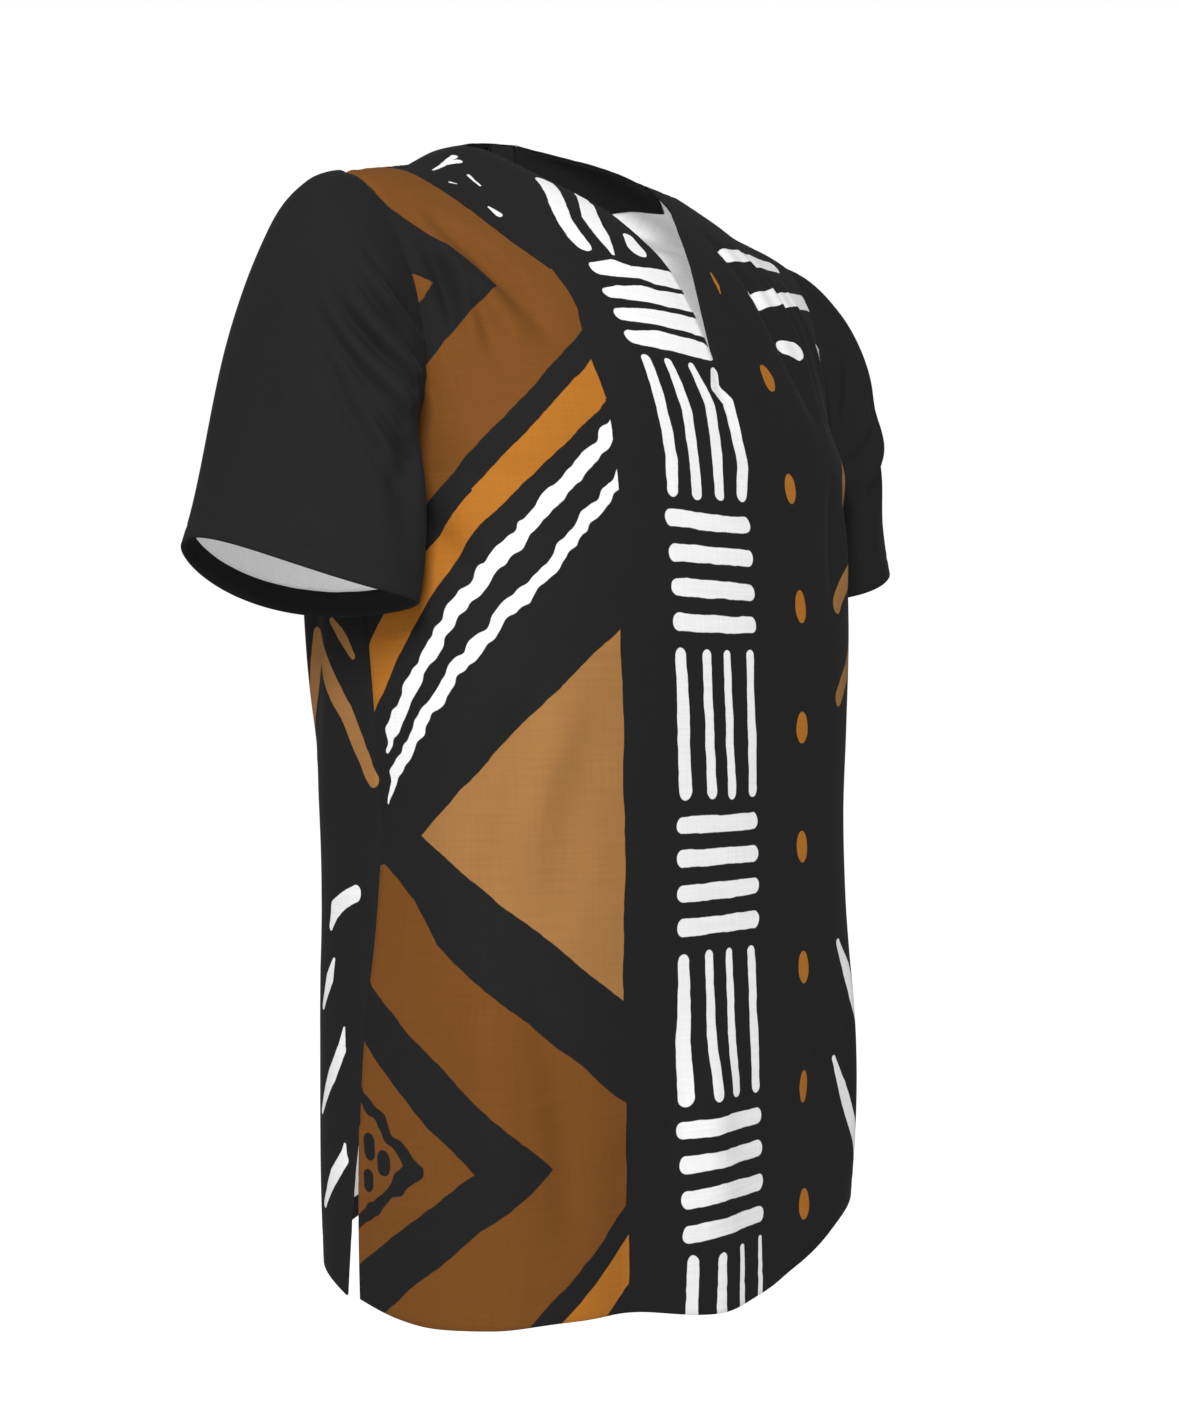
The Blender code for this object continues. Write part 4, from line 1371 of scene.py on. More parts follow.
class Graph:
    """A node tree that is wired by short calls."""

    def __init__(self, tree: bpy.types.NodeTree) -> None:
        """Wire nodes in the given tree."""
        self.tree = tree

    def node(self, kind: str, **options: object) -> bpy.types.Node:
        """Place a node.

        Args:
            kind: Its type.
            options: Options to set, by name.

        Returns:
            The new node.
        """
        made = self.tree.nodes.new(kind)
        for name, value in options.items():
            setattr(made, name, value)
        return made

    def feed(self, socket: Socket, value: object) -> None:
        """Link a socket, or set it to a plain value.

        Args:
            socket: Where the value goes.
            value: Another socket, a number, a vector or None for no change.
        """
        if isinstance(value, bpy.types.NodeSocket):
            self.tree.links.new(value, socket)
        elif value is not None:
            socket.default_value = value

    def math(self, operation: str, *values: object) -> Socket:
        """Wire one math operation.

        Args:
            operation: Its name.
            values: What goes into it.

        Returns:
            The result.
        """
        made = self.node("ShaderNodeMath", operation=operation)
        for socket, value in zip(made.inputs, values):
            self.feed(socket, value)
        return made.outputs[0]

    def share(self, value: object) -> Socket:
        """Value held between 0 and 1, by a node of its own so that big shaders still fit."""
        made = self.node("ShaderNodeClamp")
        self.feed(made.inputs["Value"], value)
        return made.outputs[0]

    def vector(self, operation: str, *values: object, scale: object = None) -> Socket:
        """Wire one vector operation.

        Args:
            operation: Its name.
            values: What goes into its vector sockets.
            scale: What goes into its scale, if it has one.

        Returns:
            The result: a number for a length, distance or dot product.
        """
        made = self.node("ShaderNodeVectorMath", operation=operation)
        for socket, value in zip(made.inputs, values):
            self.feed(socket, value)
        if scale is not None:
            self.feed(made.inputs["Scale"], scale)
        number = operation in ("LENGTH", "DISTANCE", "DOT_PRODUCT")
        return made.outputs["Value" if number else "Vector"]

    def parts(self, value: object) -> bpy.types.NodeOutputs:
        """Numbers that make up a vector, by X, Y and Z."""
        made = self.node("ShaderNodeSeparateXYZ")
        self.feed(made.inputs[0], value)
        return made.outputs

    def point(self, across: object, up: object) -> Socket:
        """Level place from two numbers."""
        made = self.node("ShaderNodeCombineXYZ")
        for socket, value in zip(made.inputs, (across, up)):
            self.feed(socket, value)
        return made.outputs[0]

    def mix(self, share: object, first: object, second: object, blend: str = "MIX") -> Socket:
        """Mix two colours.

        Args:
            share: How much of the second is used.
            first, second: The colours.
            blend: How the second goes over the first.

        Returns:
            The mixed colour.
        """
        made = self.node("ShaderNodeMix", data_type="RGBA", blend_type=blend)
        self.feed(made.inputs["Factor"], share)
        self.feed(made.inputs[6], first)
        self.feed(made.inputs[7], second)
        return made.outputs[2]

    def noise(self, place: object, scale: float, detail: float = 2.0) -> bpy.types.Node:
        """Place a noise texture.

        Args:
            place: Where it is read.
            scale: How fine it is.
            detail: How many finer layers it has.

        Returns:
            Its node.
        """
        made = self.node("ShaderNodeTexNoise")
        self.feed(made.inputs["Vector"], place)
        made.inputs["Scale"].default_value = scale
        made.inputs["Detail"].default_value = detail
        return made

    def group(self, tree: bpy.types.NodeTree, **values: object) -> bpy.types.Node:
        """Place a shared effect.

        Args:
            tree: Its node group.
            values: What goes into it, by name.

        Returns:
            Its node.
        """
        made = self.node("ShaderNodeGroup", node_tree=tree)
        for name, value in values.items():
            self.feed(made.inputs[name], value)
        return made


def effect(name: str, inputs: dict[str, str], outputs: dict[str, str]
           ) -> tuple[Graph, bpy.types.NodeOutputs, bpy.types.NodeInputs]:
    """Empty shader node group.

    Args:
        name: The group's name.
        inputs: Socket types by name.
        outputs: Socket types by name.

    Returns:
        The group's graph, what is given to it and what it puts out, as sockets by name.
    """
    tree = bpy.data.node_groups.new(name, "ShaderNodeTree")
    for direction, sockets in (("INPUT", inputs), ("OUTPUT", outputs)):
        for label, kind in sockets.items():
            tree.interface.new_socket(name=label, in_out=direction, socket_type=f"NodeSocket{kind}")
    graph = Graph(tree)
    given = graph.node("NodeGroupInput").outputs
    return graph, given, graph.node("NodeGroupOutput").inputs


class Effects:
    """Node groups that the shirt's materials share."""

    # Softness of a painted edge, in mm, and how far the drawing hand may swing.
    edge_soft = 0.5
    swing = (2.4, 2.4, 0)
    # How fast the thick and thin threads change across and up the cloth, the weft's share
    # of them, and how fast the cloth's clouds change.
    weft_grain = (.022, .55, 0)
    warp_grain = (.45, .02, 0)
    weft_share = .6
    cloud_grain = .03
    # Darkest shade of the cloth, and what the threads and the clouds add to it.
    shade_low = .80
    shade_threads = .34
    shade_clouds = .07
    # Heights of the uneven threads and of the even weave.
    uneven_height = 1.6
    weave_height = .25

    def __init__(self) -> None:
        """Make every group once."""
        self.hand = self.make_hand()
        self.stroke = self.make_stroke()
        self.border = self.make_border()
        self.weave = self.make_weave()

    def make_hand(self) -> bpy.types.NodeTree:
        """Place shaken a little, as a print drawn by hand.

        Returns:
            The group's tree.
        """
        g, given, out = effect("hand_drawn", {"Place": "Vector", "Size": "Float",
                                              "Amount": "Float"}, {"Place": "Vector"})
        near = g.vector("SCALE", given["Place"], scale=g.math("DIVIDE", 1.0, given["Size"]))
        shake = g.vector("SUBTRACT", g.noise(near, 1.0, 1.0).outputs["Color"], (.5, .5, .5))
        shake = g.vector("MULTIPLY", shake, self.swing)
        moved = g.vector("SCALE", shake, scale=given["Amount"])
        g.feed(out["Place"], g.vector("ADD", given["Place"], moved))
        return g.tree

    def make_stroke(self) -> bpy.types.NodeTree:
        """Mask of a round-ended stroke, its half width at each end given as Z.

        Returns:
            The group's tree.
        """
        g, given, out = effect("stroke", {"Place": "Vector", "From": "Vector", "To": "Vector"},
                               {"Mask": "Float"})
        level = (1, 1, 0)
        away = g.vector("SUBTRACT", given["Place"], given["From"])
        away = g.vector("MULTIPLY", away, level)
        change = g.vector("SUBTRACT", given["To"], given["From"])
        line = g.vector("MULTIPLY", change, level)
        share = g.share(g.math("DIVIDE", g.vector("DOT_PRODUCT", away, line),
                               g.vector("DOT_PRODUCT", line, line)))
        gap = g.vector("DISTANCE", away, g.vector("SCALE", line, scale=share))
        half = g.math("MULTIPLY_ADD", share, g.parts(change)["Z"], g.parts(given["From"])["Z"])
        room = g.math("SUBTRACT", half, gap)
        mask = g.math("MULTIPLY_ADD", room, 1 / self.edge_soft, 0.5)
        g.feed(out["Mask"], g.share(mask))
        return g.tree

    def make_border(self) -> bpy.types.NodeTree:
        """Mask of all that lies to the left of a line.

        Returns:
            The group's tree.
        """
        g, given, out = effect("border", {"Place": "Vector", "From": "Vector", "To": "Vector"},
                               {"Mask": "Float"})
        away = g.vector("SUBTRACT", given["Place"], given["From"])
        line = g.vector("SUBTRACT", given["To"], given["From"])
        line = g.vector("NORMALIZE", line)
        side = g.parts(g.vector("CROSS_PRODUCT", line, away))
        mask = g.math("MULTIPLY_ADD", side["Z"], 1 / self.edge_soft, 0.5)
        g.feed(out["Mask"], g.share(mask))
        return g.tree

    def make_weave(self) -> bpy.types.NodeTree:
        """Woven threads with thick and thin ones, as a shade near 1 and a height.

        Returns:
            The group's tree.
        """
        g, given, out = effect("weave", {"Place": "Vector", "Pitch": "Float"},
                               {"Shade": "Float", "Height": "Float"})
        place = given["Place"]
        turns = g.vector("SCALE", place, scale=g.math("DIVIDE", 2 * pi, given["Pitch"]))
        turns = g.parts(turns)
        threads = g.math("MULTIPLY", g.math("SINE", turns["X"]), g.math("SINE", turns["Y"]))
        weft = g.noise(g.vector("MULTIPLY", place, self.weft_grain), 1.0, 3.0).outputs["Fac"]
        warp = g.noise(g.vector("MULTIPLY", place, self.warp_grain), 1.0, 2.0).outputs["Fac"]
        cloud = g.noise(place, self.cloud_grain, 3.0).outputs["Fac"]
        uneven = g.math("ADD", g.math("MULTIPLY", weft, self.weft_share),
                        g.math("MULTIPLY", warp, 1 - self.weft_share))
        shade = g.math("MULTIPLY_ADD", uneven, self.shade_threads, self.shade_low)
        g.feed(out["Shade"], g.math("MULTIPLY_ADD", cloud, self.shade_clouds, shade))
        even = g.math("MULTIPLY", threads, self.weave_height)
        g.feed(out["Height"], g.math("MULTIPLY_ADD", uneven, self.uneven_height, even))
        return g.tree


class Canvas(Graph):
    """A cloth's node tree, with the shared effects at hand."""

    def __init__(self, tree: bpy.types.NodeTree, effects: Effects) -> None:
        """Wire nodes in the given tree, with the given effects."""
        super().__init__(tree)
        self.effects = effects

    def shaken(self, place: Socket, shake: Place) -> Socket:
        """Place moved about by a drawing hand, whose shake has a size and an amount."""
        made = self.group(self.effects.hand, Place=place, Size=shake[0], Amount=shake[1])
        return made.outputs["Place"]

    def area(self, place: Socket, shapes: Iterable[Shape]) -> object:
        """Paint some convex outlines.

        Args:
            place: Place on the flat cut.
            shapes: The outlines, corners counter-clockwise.

        Returns:
            Their mask.
        """
        total: object = 0.0
        for shape in shapes:
            mask: object = 1.0
            for a, b in zip(shape, shape[1:] + shape[:1]):
                side = self.group(self.effects.border, Place=place, From=(*a, 0), To=(*b, 0))
                mask = self.math("MINIMUM", mask, side.outputs["Mask"])
            total = self.math("MAXIMUM", total, mask)
        return total

    def brush(self, place: Socket, lines: Iterable[Line]) -> object:
        """Paint some brush strokes.

        Args:
            place: Place on the flat cut.
            lines: The strokes, as rows of across, up and half width.

        Returns:
            Their mask.
        """
        total: object = 0.0
        for line in lines:
            for a, b in zip(line, line[1:]):
                made = self.group(self.effects.stroke, Place=place, From=a, To=b)
                total = self.math("MAXIMUM", total, made.outputs["Mask"])
        return total


class Ink(Enum):
    """Colours of the print and the cloth, on screen."""

    BLACK = (32, 32, 32)
    WHITE = (235, 235, 235)
    BROWN = (113, 70, 30)
    OCHRE = (169, 106, 37)
    TAN = (153, 109, 62)

    def colour(self) -> tuple[float, float, float, float]:
        """Linear colour."""
        return linear(*self.value)


@dataclass(frozen=True)
class Cloth:
    """Finish of one cloth: its colour, how matte it is, how it takes light and its painted glow."""

    name: str
    colour: Ink
    roughness: float = .9
    specular: float = .06
    sheen: float = .015
    sheen_roughness: float = .45
    bump: float = .25
    bump_deep: float = .1 * MM
    pitch: float = .55      # of the threads, in mm
    painted_glow: float = 0      # painted glow of this face, which stands in for light that comes through the cloth

    def material(self, effects: Effects, paint: "Print | None" = None) -> bpy.types.Material:
        """Build the material.

        Args:
            effects: The shared groups.
            paint: The print on the cloth, if it has one.

        Returns:
            The new material.
        """
        made = bpy.data.materials.new(self.name)
        made.use_nodes = True
        g = Canvas(made.node_tree, effects)
        shader = made.node_tree.nodes["Principled BSDF"]
        uv = g.node("ShaderNodeUVMap", uv_map="cloth")
        place = g.vector("SCALE", uv.outputs["UV"], scale=1 / MM)
        weave = g.group(effects.weave, Place=place, Pitch=self.pitch)
        colour = paint.colour(g, place) if paint else self.colour.colour()
        shade = g.node("ShaderNodeCombineColor")
        for socket in shade.inputs:
            g.feed(socket, weave.outputs["Shade"])
        tinted = g.mix(1, colour, shade.outputs["Color"], blend="MULTIPLY")
        g.feed(shader.inputs["Base Color"], tinted)
        # The emission is a painted glow: even white light from the face itself, not from a lamp.
        set_sockets(shader, {
            "Roughness": self.roughness, "Specular IOR Level": self.specular,
            "Sheen Weight": self.sheen, "Sheen Roughness": self.sheen_roughness,
            "Emission Color": (1, 1, 1, 1), "Emission Strength": self.painted_glow})
        bump = g.node("ShaderNodeBump")
        set_sockets(bump, {"Strength": self.bump, "Distance": self.bump_deep})
        g.feed(bump.inputs["Height"], weave.outputs["Height"])
        g.feed(shader.inputs["Normal"], bump.outputs["Normal"])
        return made


# ------------ the print
@dataclass(frozen=True)
class Print:
    """A print laid out on the flat cut, in mm across and up.

    Areas are painted in turn, each an ink with convex outlines whose corners run
    counter-clockwise.  Lines are brush strokes, each a row of across, up and half width.
    """

    areas: tuple[tuple[Ink, tuple[Shape, ...]], ...]
    lines: tuple[tuple[Ink, tuple[Line, ...]], ...]
    # Lines drawn with a wavering hand, and where their ends are trimmed upright.
    waves: tuple[tuple[Ink, tuple[Line, ...]], ...]
    trims: tuple[Shape, ...]
    # The column of bars: its middle, its first bar's top, and the levels that it lies between.
    bars_at: float
    bars_top: float
    bars_between: tuple[float, float]
    # The column of dots: its middle, the height of one of them, and the highest level.
    dots_at: float
    dots_up: float
    dots_below: float
    # Size and amount of the hand's shake: broad, fine and along the waves.
    broad_shake: tuple[float, float] = (38.0, 1.6)
    fine_shake: tuple[float, float] = (9.0, .55)
    wave_shake: tuple[float, float] = (17.0, 4.6)
    # Height of one turn of the bars, height of its upright part, and the level bars' pitch.
    bars_turn: float = 198.5
    upright: float = 104.0
    level_pitch: float = 22.3
    # Upright bars, as across at the top and at the foot, and half width; and the level bar.
    uprights: tuple[Place, ...] = (
        (-51.5, -49.5, 5.7), (-26.5, -23, 4.5), (-6, -2.5, 3.7), (17.5, 20.5, 4.2))
    level: Line = ((-52, 0, 5.7), (20.5, 0, 5.5))
    levels: int = 4
    # How far short of the level bars the upright ones end, and how they widen downwards.
    upright_gap: float = 5.0
    taper: float = .1
    # The dots' pitch and half sizes.
    dot_pitch: float = 83.0
    dot_half_wide: float = 6.6
    dot_half_tall: float = 11.0

    def colour(self, g: Canvas, place: Socket) -> Socket:
        """Paint the cloth.

        Args:
            g: The cloth's node tree.
            place: Place on the flat cut, in mm.

        Returns:
            The colour there.
        """
        drawn = g.shaken(g.shaken(place, self.broad_shake), self.fine_shake)
        wavy = g.shaken(place, self.wave_shake)
        colour: object = Ink.BLACK.colour()
        for ink, shapes in self.areas:
            colour = g.mix(g.area(drawn, shapes), colour, ink.colour())
        for spot, inks in ((drawn, self.lines), (wavy, self.waves)):
            for ink, lines in inks:
                colour = g.mix(g.brush(spot, lines), colour, ink.colour())
        colour = g.mix(g.area(drawn, self.trims), colour, Ink.BLACK.colour())
        colour = g.mix(self.bars(g, drawn), colour, Ink.WHITE.colour())
        return g.mix(self.dots(g, drawn), colour, Ink.OCHRE.colour())

    def bars(self, g: Canvas, place: Socket) -> Socket:
        """Paint the column of bars: four upright, then four level, over and over.

        Args:
            g: The cloth's node tree.
            place: Place on the flat cut, in mm.

        Returns:
            The bars' mask.
        """
        parts = g.parts(place)
        across = g.math("SUBTRACT", parts["X"], self.bars_at)
        down = g.math("SUBTRACT", self.bars_top, parts["Y"])
        down = g.math("FLOORED_MODULO", down, self.bars_turn)
        end = self.upright - self.upright_gap
        tall = [((top, half, half * (1 - self.taper)), (foot, end - half, half * (1 + self.taper)))
                for top, foot, half in self.uprights]
        standing = g.brush(g.point(across, down), tall)
        row = g.math("FLOORED_MODULO", g.math("SUBTRACT", down, self.upright), self.level_pitch)
        spot = g.point(across, g.math("SUBTRACT", row, self.level_pitch / 2))
        lying = g.brush(spot, (self.level,))
        last = self.upright + self.levels * self.level_pitch
        inside = g.math("GREATER_THAN", down, self.upright)
        inside = g.math("MULTIPLY", inside, g.math("LESS_THAN", down, last))
        both = g.math("MAXIMUM", standing, g.math("MULTIPLY", lying, inside))
        high, low = self.bars_between
        both = g.math("MULTIPLY", both, g.math("LESS_THAN", parts["Y"], high))
        return g.math("MULTIPLY", both, g.math("GREATER_THAN", parts["Y"], low))

    def dots(self, g: Canvas, place: Socket) -> Socket:
        """Paint the column of upright oval dots.

        Args:
            g: The cloth's node tree.
            place: Place on the flat cut, in mm.

        Returns:
            The dots' mask.
        """
        pitch, tall = self.dot_pitch, self.dot_half_tall
        parts = g.parts(place)
        down = g.math("SUBTRACT", self.dots_up + pitch / 2, parts["Y"])
        down = g.math("SUBTRACT", g.math("FLOORED_MODULO", down, pitch), pitch / 2)
        across = g.math("SUBTRACT", parts["X"], self.dots_at)
        across = g.math("MULTIPLY", across, tall / self.dot_half_wide)
        dot = ((0, -.2, tall), (0, .2, tall))
        made = g.brush(g.point(across, down), (dot,))
        return g.math("MULTIPLY", made, g.math("LESS_THAN", parts["Y"], self.dots_below))


def turned_over(shapes: Iterable[Shape], lift: float) -> tuple[Shape, ...]:
    """Outlines mirrored from one side of the shirt to the other.

    Args:
        shapes: Outlines, corners counter-clockwise.
        lift: How far the mirrored ones move up.

    Returns:
        The mirrored outlines, counter-clockwise again.
    """
    return tuple(tuple((-x, y + lift) for x, y in shape[::-1]) for shape in shapes)


# Outlines of the motifs, in mm across and up from the notch's tip.
CHEST_BLOCK = ((-137, 60), (-182, 20), (-250, -48), (-250, -122), (-94, 22), (-90, 38),
               (-88, 58), (-90, 78))
ARMHOLE_CHIP = ((-179, 61), (-205, 88), (-205, 34))
OCHRE_BAND = (((-93, -31), (-96, -2), (-195, -92), (-191, -115)),
              ((-191, -115), (-188, -86), (-340, -249), (-340, -300)))
TAN_WEDGE = ((-103, -181), (-140, -210), (-251, -309), (-106, -416))
BROWN_WEDGE = (
    ((-104, -480), (-238, -376), (-340, -481), (-340, -648), (-185, -618), (-103, -546)),
    ((-236, -378), (-256, -349), (-284, -328), (-340, -335), (-340, -469), (-236, -420)))
BLACK_CHEVRON = ((-158, -517), (-229, -451), (-340, -368), (-340, -657))
BROWN_CORE = ((-206, -517), (-340, -399), (-340, -611))
HEM_BAND = ((-100, -565), (-170, -624), (-170, -656), (-100, -597))
WAVE_TRIM = ((-94, -112), (-70, -112), (-70, -30), (-94, -30))
# Strokes of the motifs.
SHOULDER_STRIP = ((-113, 67, 24), (-127, 92, 23), (-143, 119, 25), (-160, 142, 24),
                  (-177, 167, 20), (-206, 193, 14))
NECK_BARS = (
    ((-56, 192, 8), (-54, 162, 6.6), (-53, 136, 6.4), (-52, 116, 7), (-51, 108, 6.4)),
    ((-28, 192, 3), (-28, 170, 6.6), (-29, 145, 7.8), (-28, 126, 6.2), (-29, 104, 1.6)),
    ((-1, 131, 5), (-1, 118, 8.5)),
    ((-52, 84, 6), (-33, 88, 8.6), (-19, 87, 5.8), (-4, 88, 8), (22, 94, 9)),
    ((-55, 59, 4.8), (-43, 62, 6.8), (-20, 66, 8.2), (-2, 66, 8), (24, 71, 9)),
    ((-55, 40, 5), (-23, 43, 7.5), (22, 45, 9.5)),
    ((-54, 21, 5.7), (-25, 22, 8), (13, 21, 8.5)))
CHEST_BARS = (
    ((-50, 3, 4.2), (-48, -16, 5), (-45, -47, 5), (-45, -68, 5.3), (-48, -89, 5.2)),
    ((-30, 3, 3.6), (-25, -18, 4.8), (-22, -30, 4.7), (-24, -66, 4.5), (-26, -90, 4.5)),
    ((-8, 4, 3), (-1, -12, 4.6), (3, -24, 5.4), (0, -64, 5.3), (-3, -88, 4.7)),
    ((16, 2, 4.6), (14, -9, 5.5), (25, -18, 4.7), (26, -47, 5.2), (26, -65, 5.8),
     (21, -87, 5.2)))
HEM_BARS = (
    ((-50, -591, 5), (-50, -690, 6.4)), ((-23, -593, 4.4), (-23.5, -690, 5)),
    ((-1, -590, 2.4), (-1.5, -690, 4.2)), ((21, -589, 2), (21, -690, 4.6)))
SHOULDER_MARKS = (
    ((-141, 191, 1), (-130, 204, 2.4), (-120, 217, 2.6)), ((-130, 204, 2.6), (-119, 208, 3.2)),
    ((-133, 171, 1), (-128, 170, .4)), ((-117, 184, 1.2), (-111, 171, .8)),
    ((-109, 142, .8), (-104, 134, 2.8)))
CHEST_MARKS = (
    ((128, 135, 4), (140, 137, 7.5), (170, 141, 7), (205, 148, 8), (245, 152, 7)),
    ((125, 88, 5), (133, 86, 8), (190, 101, 7), (272, 118, 8)),
    ((137, 40, 6.5), (150, 37.5, 8.5)), ((243, 64, 6), (252, 60, 8)))
FLANK_MARKS = (
    ((132, -399, 3), (145, -420, 7), (215, -560, 6)),
    ((118, -480, 2.5), (130, -502, 6), (200, -640, 6)),
    ((215, -330, 3), (228, -352, 6), (290, -470, 6)))

FRONT_PRINT = Print(
    areas=(
        (Ink.BROWN, (CHEST_BLOCK, ARMHOLE_CHIP, *BROWN_WEDGE)),
        (Ink.OCHRE, (*OCHRE_BAND, HEM_BAND)),
        (Ink.TAN, (TAN_WEDGE,)),
        (Ink.BLACK, (BLACK_CHEVRON,)),
        (Ink.BROWN, (BROWN_CORE,))),
    lines=(
        (Ink.BROWN, (SHOULDER_STRIP,)),
        (Ink.BLACK, (((-286, -503, 5), (-286, -510, 5)), ((-274, -513, 5.4), (-274, -518, 5.4)),
                     ((-288, -525, 4.6), (-288, -530, 4.6)))),
        (Ink.TAN, (((136, -158, 6.5), (262, -40, 6)), ((136, -224, 6.5), (290, -82, 6)),
                   ((170, -86, 2), (176, -66, 6), (190, -48, 5)))),
        (Ink.OCHRE, (((88, 108, .8), (84, 96, 1.7), (80, 86, .5)),)),
        (Ink.WHITE, (*NECK_BARS, *CHEST_BARS, *HEM_BARS, *SHOULDER_MARKS, *CHEST_MARKS,
                     *FLANK_MARKS))),
    waves=(
        (Ink.BLACK, (((-340, -444, 4.5), (-280, -486, 4.6), (-261, -505, 4.6), (-247, -517, 5.6),
                      (-264, -532, 4.4), (-340, -583, 4.6)),)),
        (Ink.WHITE, (
            ((-80, -38, 4.9), (-205, -160, 4.9), (-245, -211, 5.3), (-268, -240, 5.6),
             (-274, -256, 1)),
            ((-82, -73, 4.8), (-158, -150, 4.5), (-211, -203, 4.6), (-245, -241, 4.1),
             (-270, -271, 3.4), (-278, -286, .8))))),
    trims=(WAVE_TRIM,),
    bars_at=0.0, bars_top=7.0, bars_between=(-94.0, -586.0),
    dots_at=79.0, dots_up=4.5, dots_below=50.0)

BACK_MOTIFS = -205.0     # height of the back's large motifs, next to the front's
FRONT_ONLY = (ARMHOLE_CHIP, HEM_BAND)      # outlines that the back goes without
BACK_PRINT = Print(
    areas=tuple((ink, turned_over((shape for shape in shapes if shape not in FRONT_ONLY),
                                  BACK_MOTIFS))
                for ink, shapes in FRONT_PRINT.areas),
    lines=(
        (Ink.BROWN, (((112, -138, 24), (140, -90, 25), (172, -48, 22), (200, -20, 16)),)),
        (Ink.TAN, (((-219, -373, 8.5), (-250, -422, 7.2), (-270, -466, 5.5)),
                   ((-247, -362, 2.6), (-258, -375, 4.4), (-265, -386, 2.4)),
                   ((-219, -373, 8.5), (-186, -430, 7)),
                   ((-130, -190, 6), (-232, -96, 6)), ((-128, -246, 6), (-250, -138, 6)))),
        (Ink.WHITE, (((-221, -562, 3), (-226, -551, 6.4), (-238, -544, 5.8), (-250, -540, 5.6)),
                     ((-230, -585, 2), (-226, -597, 5.6), (-217, -615, 2.6)),
                     ((-251, -627, 1.2), (-250, -640, 4.6), (-240, -658, 5.2), (-224, -684, 2.4)),
                     ((-258, -700, 1.2), (-257, -709, 4.6), (-246, -722, 5.2), (-231, -743, 2.4)),
                     ((-132, -560, 3), (-144, -582, 6.4), (-188, -662, 5)),
                     ((-124, -640, 3), (-136, -662, 6.4), (-176, -742, 5)),
                     ((-126, -52, 6), (-150, -56, 7.4), (-190, -50, 6.6)),
                     ((-124, -92, 5), (-146, -98, 7), (-182, -92, 7.4))))),
    waves=(
        (Ink.BLACK, (((340, -649, 4.5), (261, -710, 4.6), (247, -722, 5.6),
                      (264, -737, 4.4), (340, -788, 4.6)),)),
        (Ink.WHITE, (
            ((80, -241, 4.9), (205, -365, 4.9), (262, -428, 5.4), (276, -456, 1)),
            ((82, -277, 4.8), (211, -408, 4.6), (264, -466, 4), (280, -492, .8))))),
    trims=turned_over((WAVE_TRIM,), BACK_MOTIFS),
    bars_at=10.0, bars_top=-6.0, bars_between=(0.0, -900.0),
    dots_at=-74.0, dots_up=-40.0, dots_below=0.0)


# ------------ stage
@dataclass(frozen=True)
class Stage:
    """Floor, lights, sky and camera."""

    lens: float = 54.74
    sensor_tall: float = 36
    eye: Place = (-1.11605, -1.04073, -0.387)
    heading: float = 47.0
    floor_z: float = -1.42
    backdrop: float = 1.0
    sky: float = .35
    # Glow of the floor as it is seen, and as it lights the shirt from below.
    glow: float = .84
    bounce: float = .28
    floor_wide: float = 40.0
    floor_grey: float = .6
    # The key light: its place, size and power, and the place that it looks at.
    key_place: Place = (-2.0, -1.6, 0.9)
    key_size: float = .8
    key_power: float = 73
    key_aim: Place = (0, 0, -.35)

    def build(self) -> None:
        """Make all of the stage."""
        self.camera()
        self.floor()
        self.key_light()
        self.world()
        bpy.context.scene.view_settings.view_transform = "Standard"

    def camera(self) -> None:
        """Level camera off the wearer's right front."""
        data = bpy.data.cameras.new("camera")
        data.sensor_fit = "VERTICAL"
        data.sensor_height = self.sensor_tall
        data.lens = self.lens
        data.dof.use_dof = False
        camera = add_object("camera", data)
        camera.location = self.eye
        camera.rotation_euler = (radians(90), 0, radians(-self.heading))
        bpy.context.scene.camera = camera

    def floor(self) -> None:
        """Plain pale floor, well below the shirt."""
        bpy.ops.object.select_all(action="DESELECT")
        bpy.ops.mesh.primitive_plane_add(size=self.floor_wide,
                                         location=(0, 0, self.floor_z))
        floor = bpy.context.object
        floor.name = "floor"
        paint = bpy.data.materials.new("floor_paint")
        paint.use_nodes = True
        shader = paint.node_tree.nodes["Principled BSDF"]
        set_sockets(shader, {"Base Color": (self.floor_grey,) * 3 + (1,), "Roughness": .9,
                             "Specular IOR Level": .1, "Emission Strength": 1})
        g = Graph(paint.node_tree)
        seen = g.node("ShaderNodeLightPath").outputs["Is Camera Ray"]
        glow = g.mix(seen, (self.bounce,) * 3 + (1,), (self.glow,) * 3 + (1,))
        g.feed(shader.inputs["Emission Color"], glow)
        floor.data.materials.append(paint)

    def key_light(self) -> None:
        """Soft square light that looks at the chest."""
        data = bpy.data.lights.new("key_light", "AREA")
        data.size = self.key_size
        data.energy = self.key_power
        lamp = add_object("key_light", data)
        lamp.location = self.key_place
        aim = Vector(self.key_aim) - Vector(self.key_place)
        lamp.rotation_euler = aim.to_track_quat("-Z", "Y").to_euler()

    def world(self) -> None:
        """Even white sky, which looks brighter than it lights."""
        world = bpy.data.worlds.new("sky")
        world.use_nodes = True
        g = Graph(world.node_tree)
        seen = g.node("ShaderNodeLightPath").outputs["Is Camera Ray"]
        sky = world.node_tree.nodes["Background"]
        sky.inputs["Color"].default_value = (1, 1, 1, 1)
        strength = g.math("MULTIPLY_ADD", seen, self.backdrop - self.sky, self.sky)
        g.feed(sky.inputs["Strength"], strength)
        bpy.context.scene.world = world


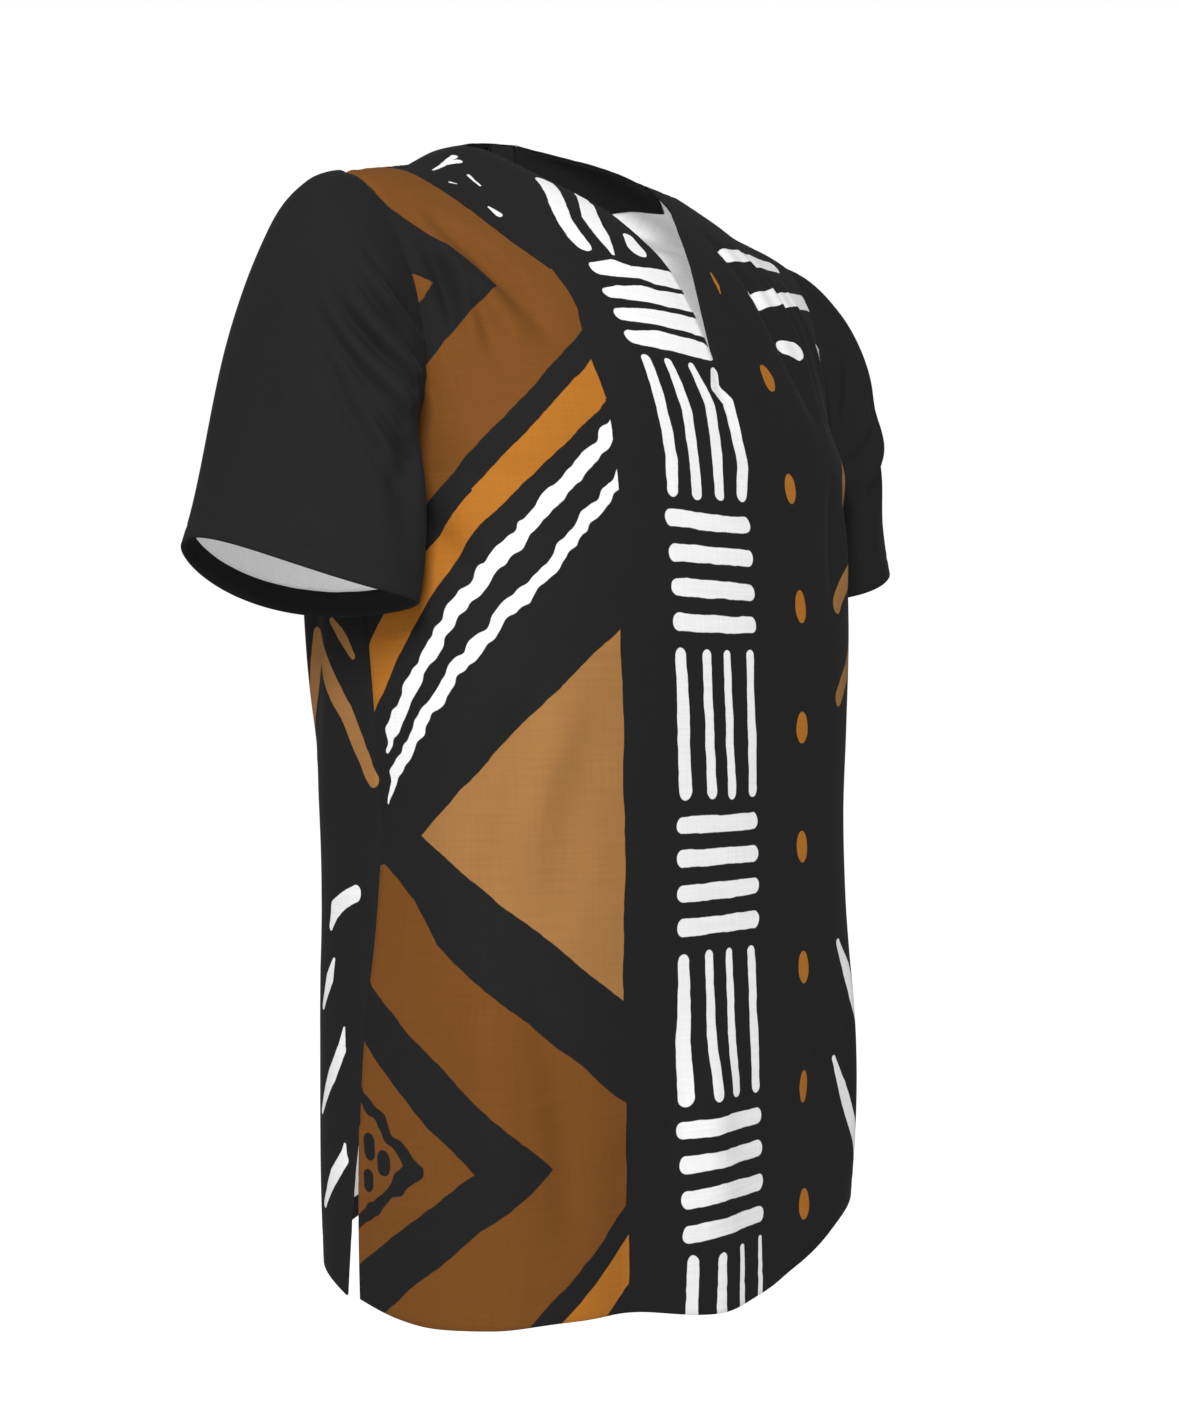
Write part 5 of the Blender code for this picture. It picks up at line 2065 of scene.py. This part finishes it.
# ------------ the whole shirt
class Shirt:
    """The shirt's pieces of cloth, sewn together and dressed."""

    def __init__(self) -> None:
        """Lay out the cloth, fold it and sew it."""
        body = BodyForm()
        self.front = Panel("front_cloth", False, body)
        self.back = Panel("back_cloth", True, body)
        for panel in (self.front, self.back):
            panel.fold(MAIN_FOLDS, BODY_CREASES)
            panel.sew_hems()
        self.sleeves = {side: Sleeve(f"sleeve_{side.name.lower()}_cloth", side, SleeveForm(), body)
                        for side in Side}
        for sleeve in self.sleeves.values():
            sleeve.join(self.front, self.back)
        sew_body(self.front, self.back)
        for sleeve in self.sleeves.values():
            sew_armhole(sleeve, self.front, self.back)
        self.facing = NeckFacing(self.back)

    def dress(self) -> None:
        """Build every piece with its finish and its stitches, hang both from the root and hide the
        solid that the piece stands for.
        """
        effects = Effects()
        # The reverse face has a faint painted glow, which stands in for light that comes through
        # the cloth.
        reverse = Cloth("reverse_face", Ink.WHITE, painted_glow=.08).material(effects)
        front_print = Cloth("printed_front", Ink.BLACK).material(effects, FRONT_PRINT)
        back_print = Cloth("printed_back", Ink.BLACK).material(effects, BACK_PRINT)
        sleeve_cloth = Cloth("plain_sleeve", Ink.BLACK).material(effects)
        facing_cloth = Cloth("plain_facing", Ink.BLACK).material(effects)
        thread = Cloth("black_thread", Ink.BLACK).material(effects)
        stitching = Stitching()
        for part, node, outside, inside, slot, flat, held, rests_on in (
                (self.front, "front", front_print, reverse, "front_print",
                 (.60, .87), "hung", "back_cloth"),
                (self.back, "back", back_print, reverse, "back_print",
                 (.58, .83), "hung", "front_cloth"),
                (self.sleeves[Side.RIGHT], "sleeve_right", sleeve_cloth, reverse,
                 "sleeve_cloth", (.52, .285), "hung", "front_cloth"),
                (self.sleeves[Side.LEFT], "sleeve_left", sleeve_cloth, reverse,
                 "sleeve_cloth", (.52, .255), "hung", "front_cloth"),
                (self.facing, "neck_facing", facing_cloth, facing_cloth,
                 "facing_cloth", (.345, .047), "laid", "back_cloth")):
            piece = part.shell.build(outside, inside)
            sewing = stitching.sew(f"{node}_stitches", part.shell, part.stitches,
                                   outside=isinstance(part, Sleeve))
            sewing.data.materials.append(thread)
            for made in (piece, sewing):
                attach(made, "root")
            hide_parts(node)
            area = part.shell.area()
            log.info("%s: %d points, %.4f m2 of cloth", piece.name, len(part.shell.points), area)


def main() -> None:
    """Build the shirt, dress it and set the stage."""
    shirt = Shirt()
    shirt.dress()
    Stage().build()


if __name__ == "__main__":
    main()
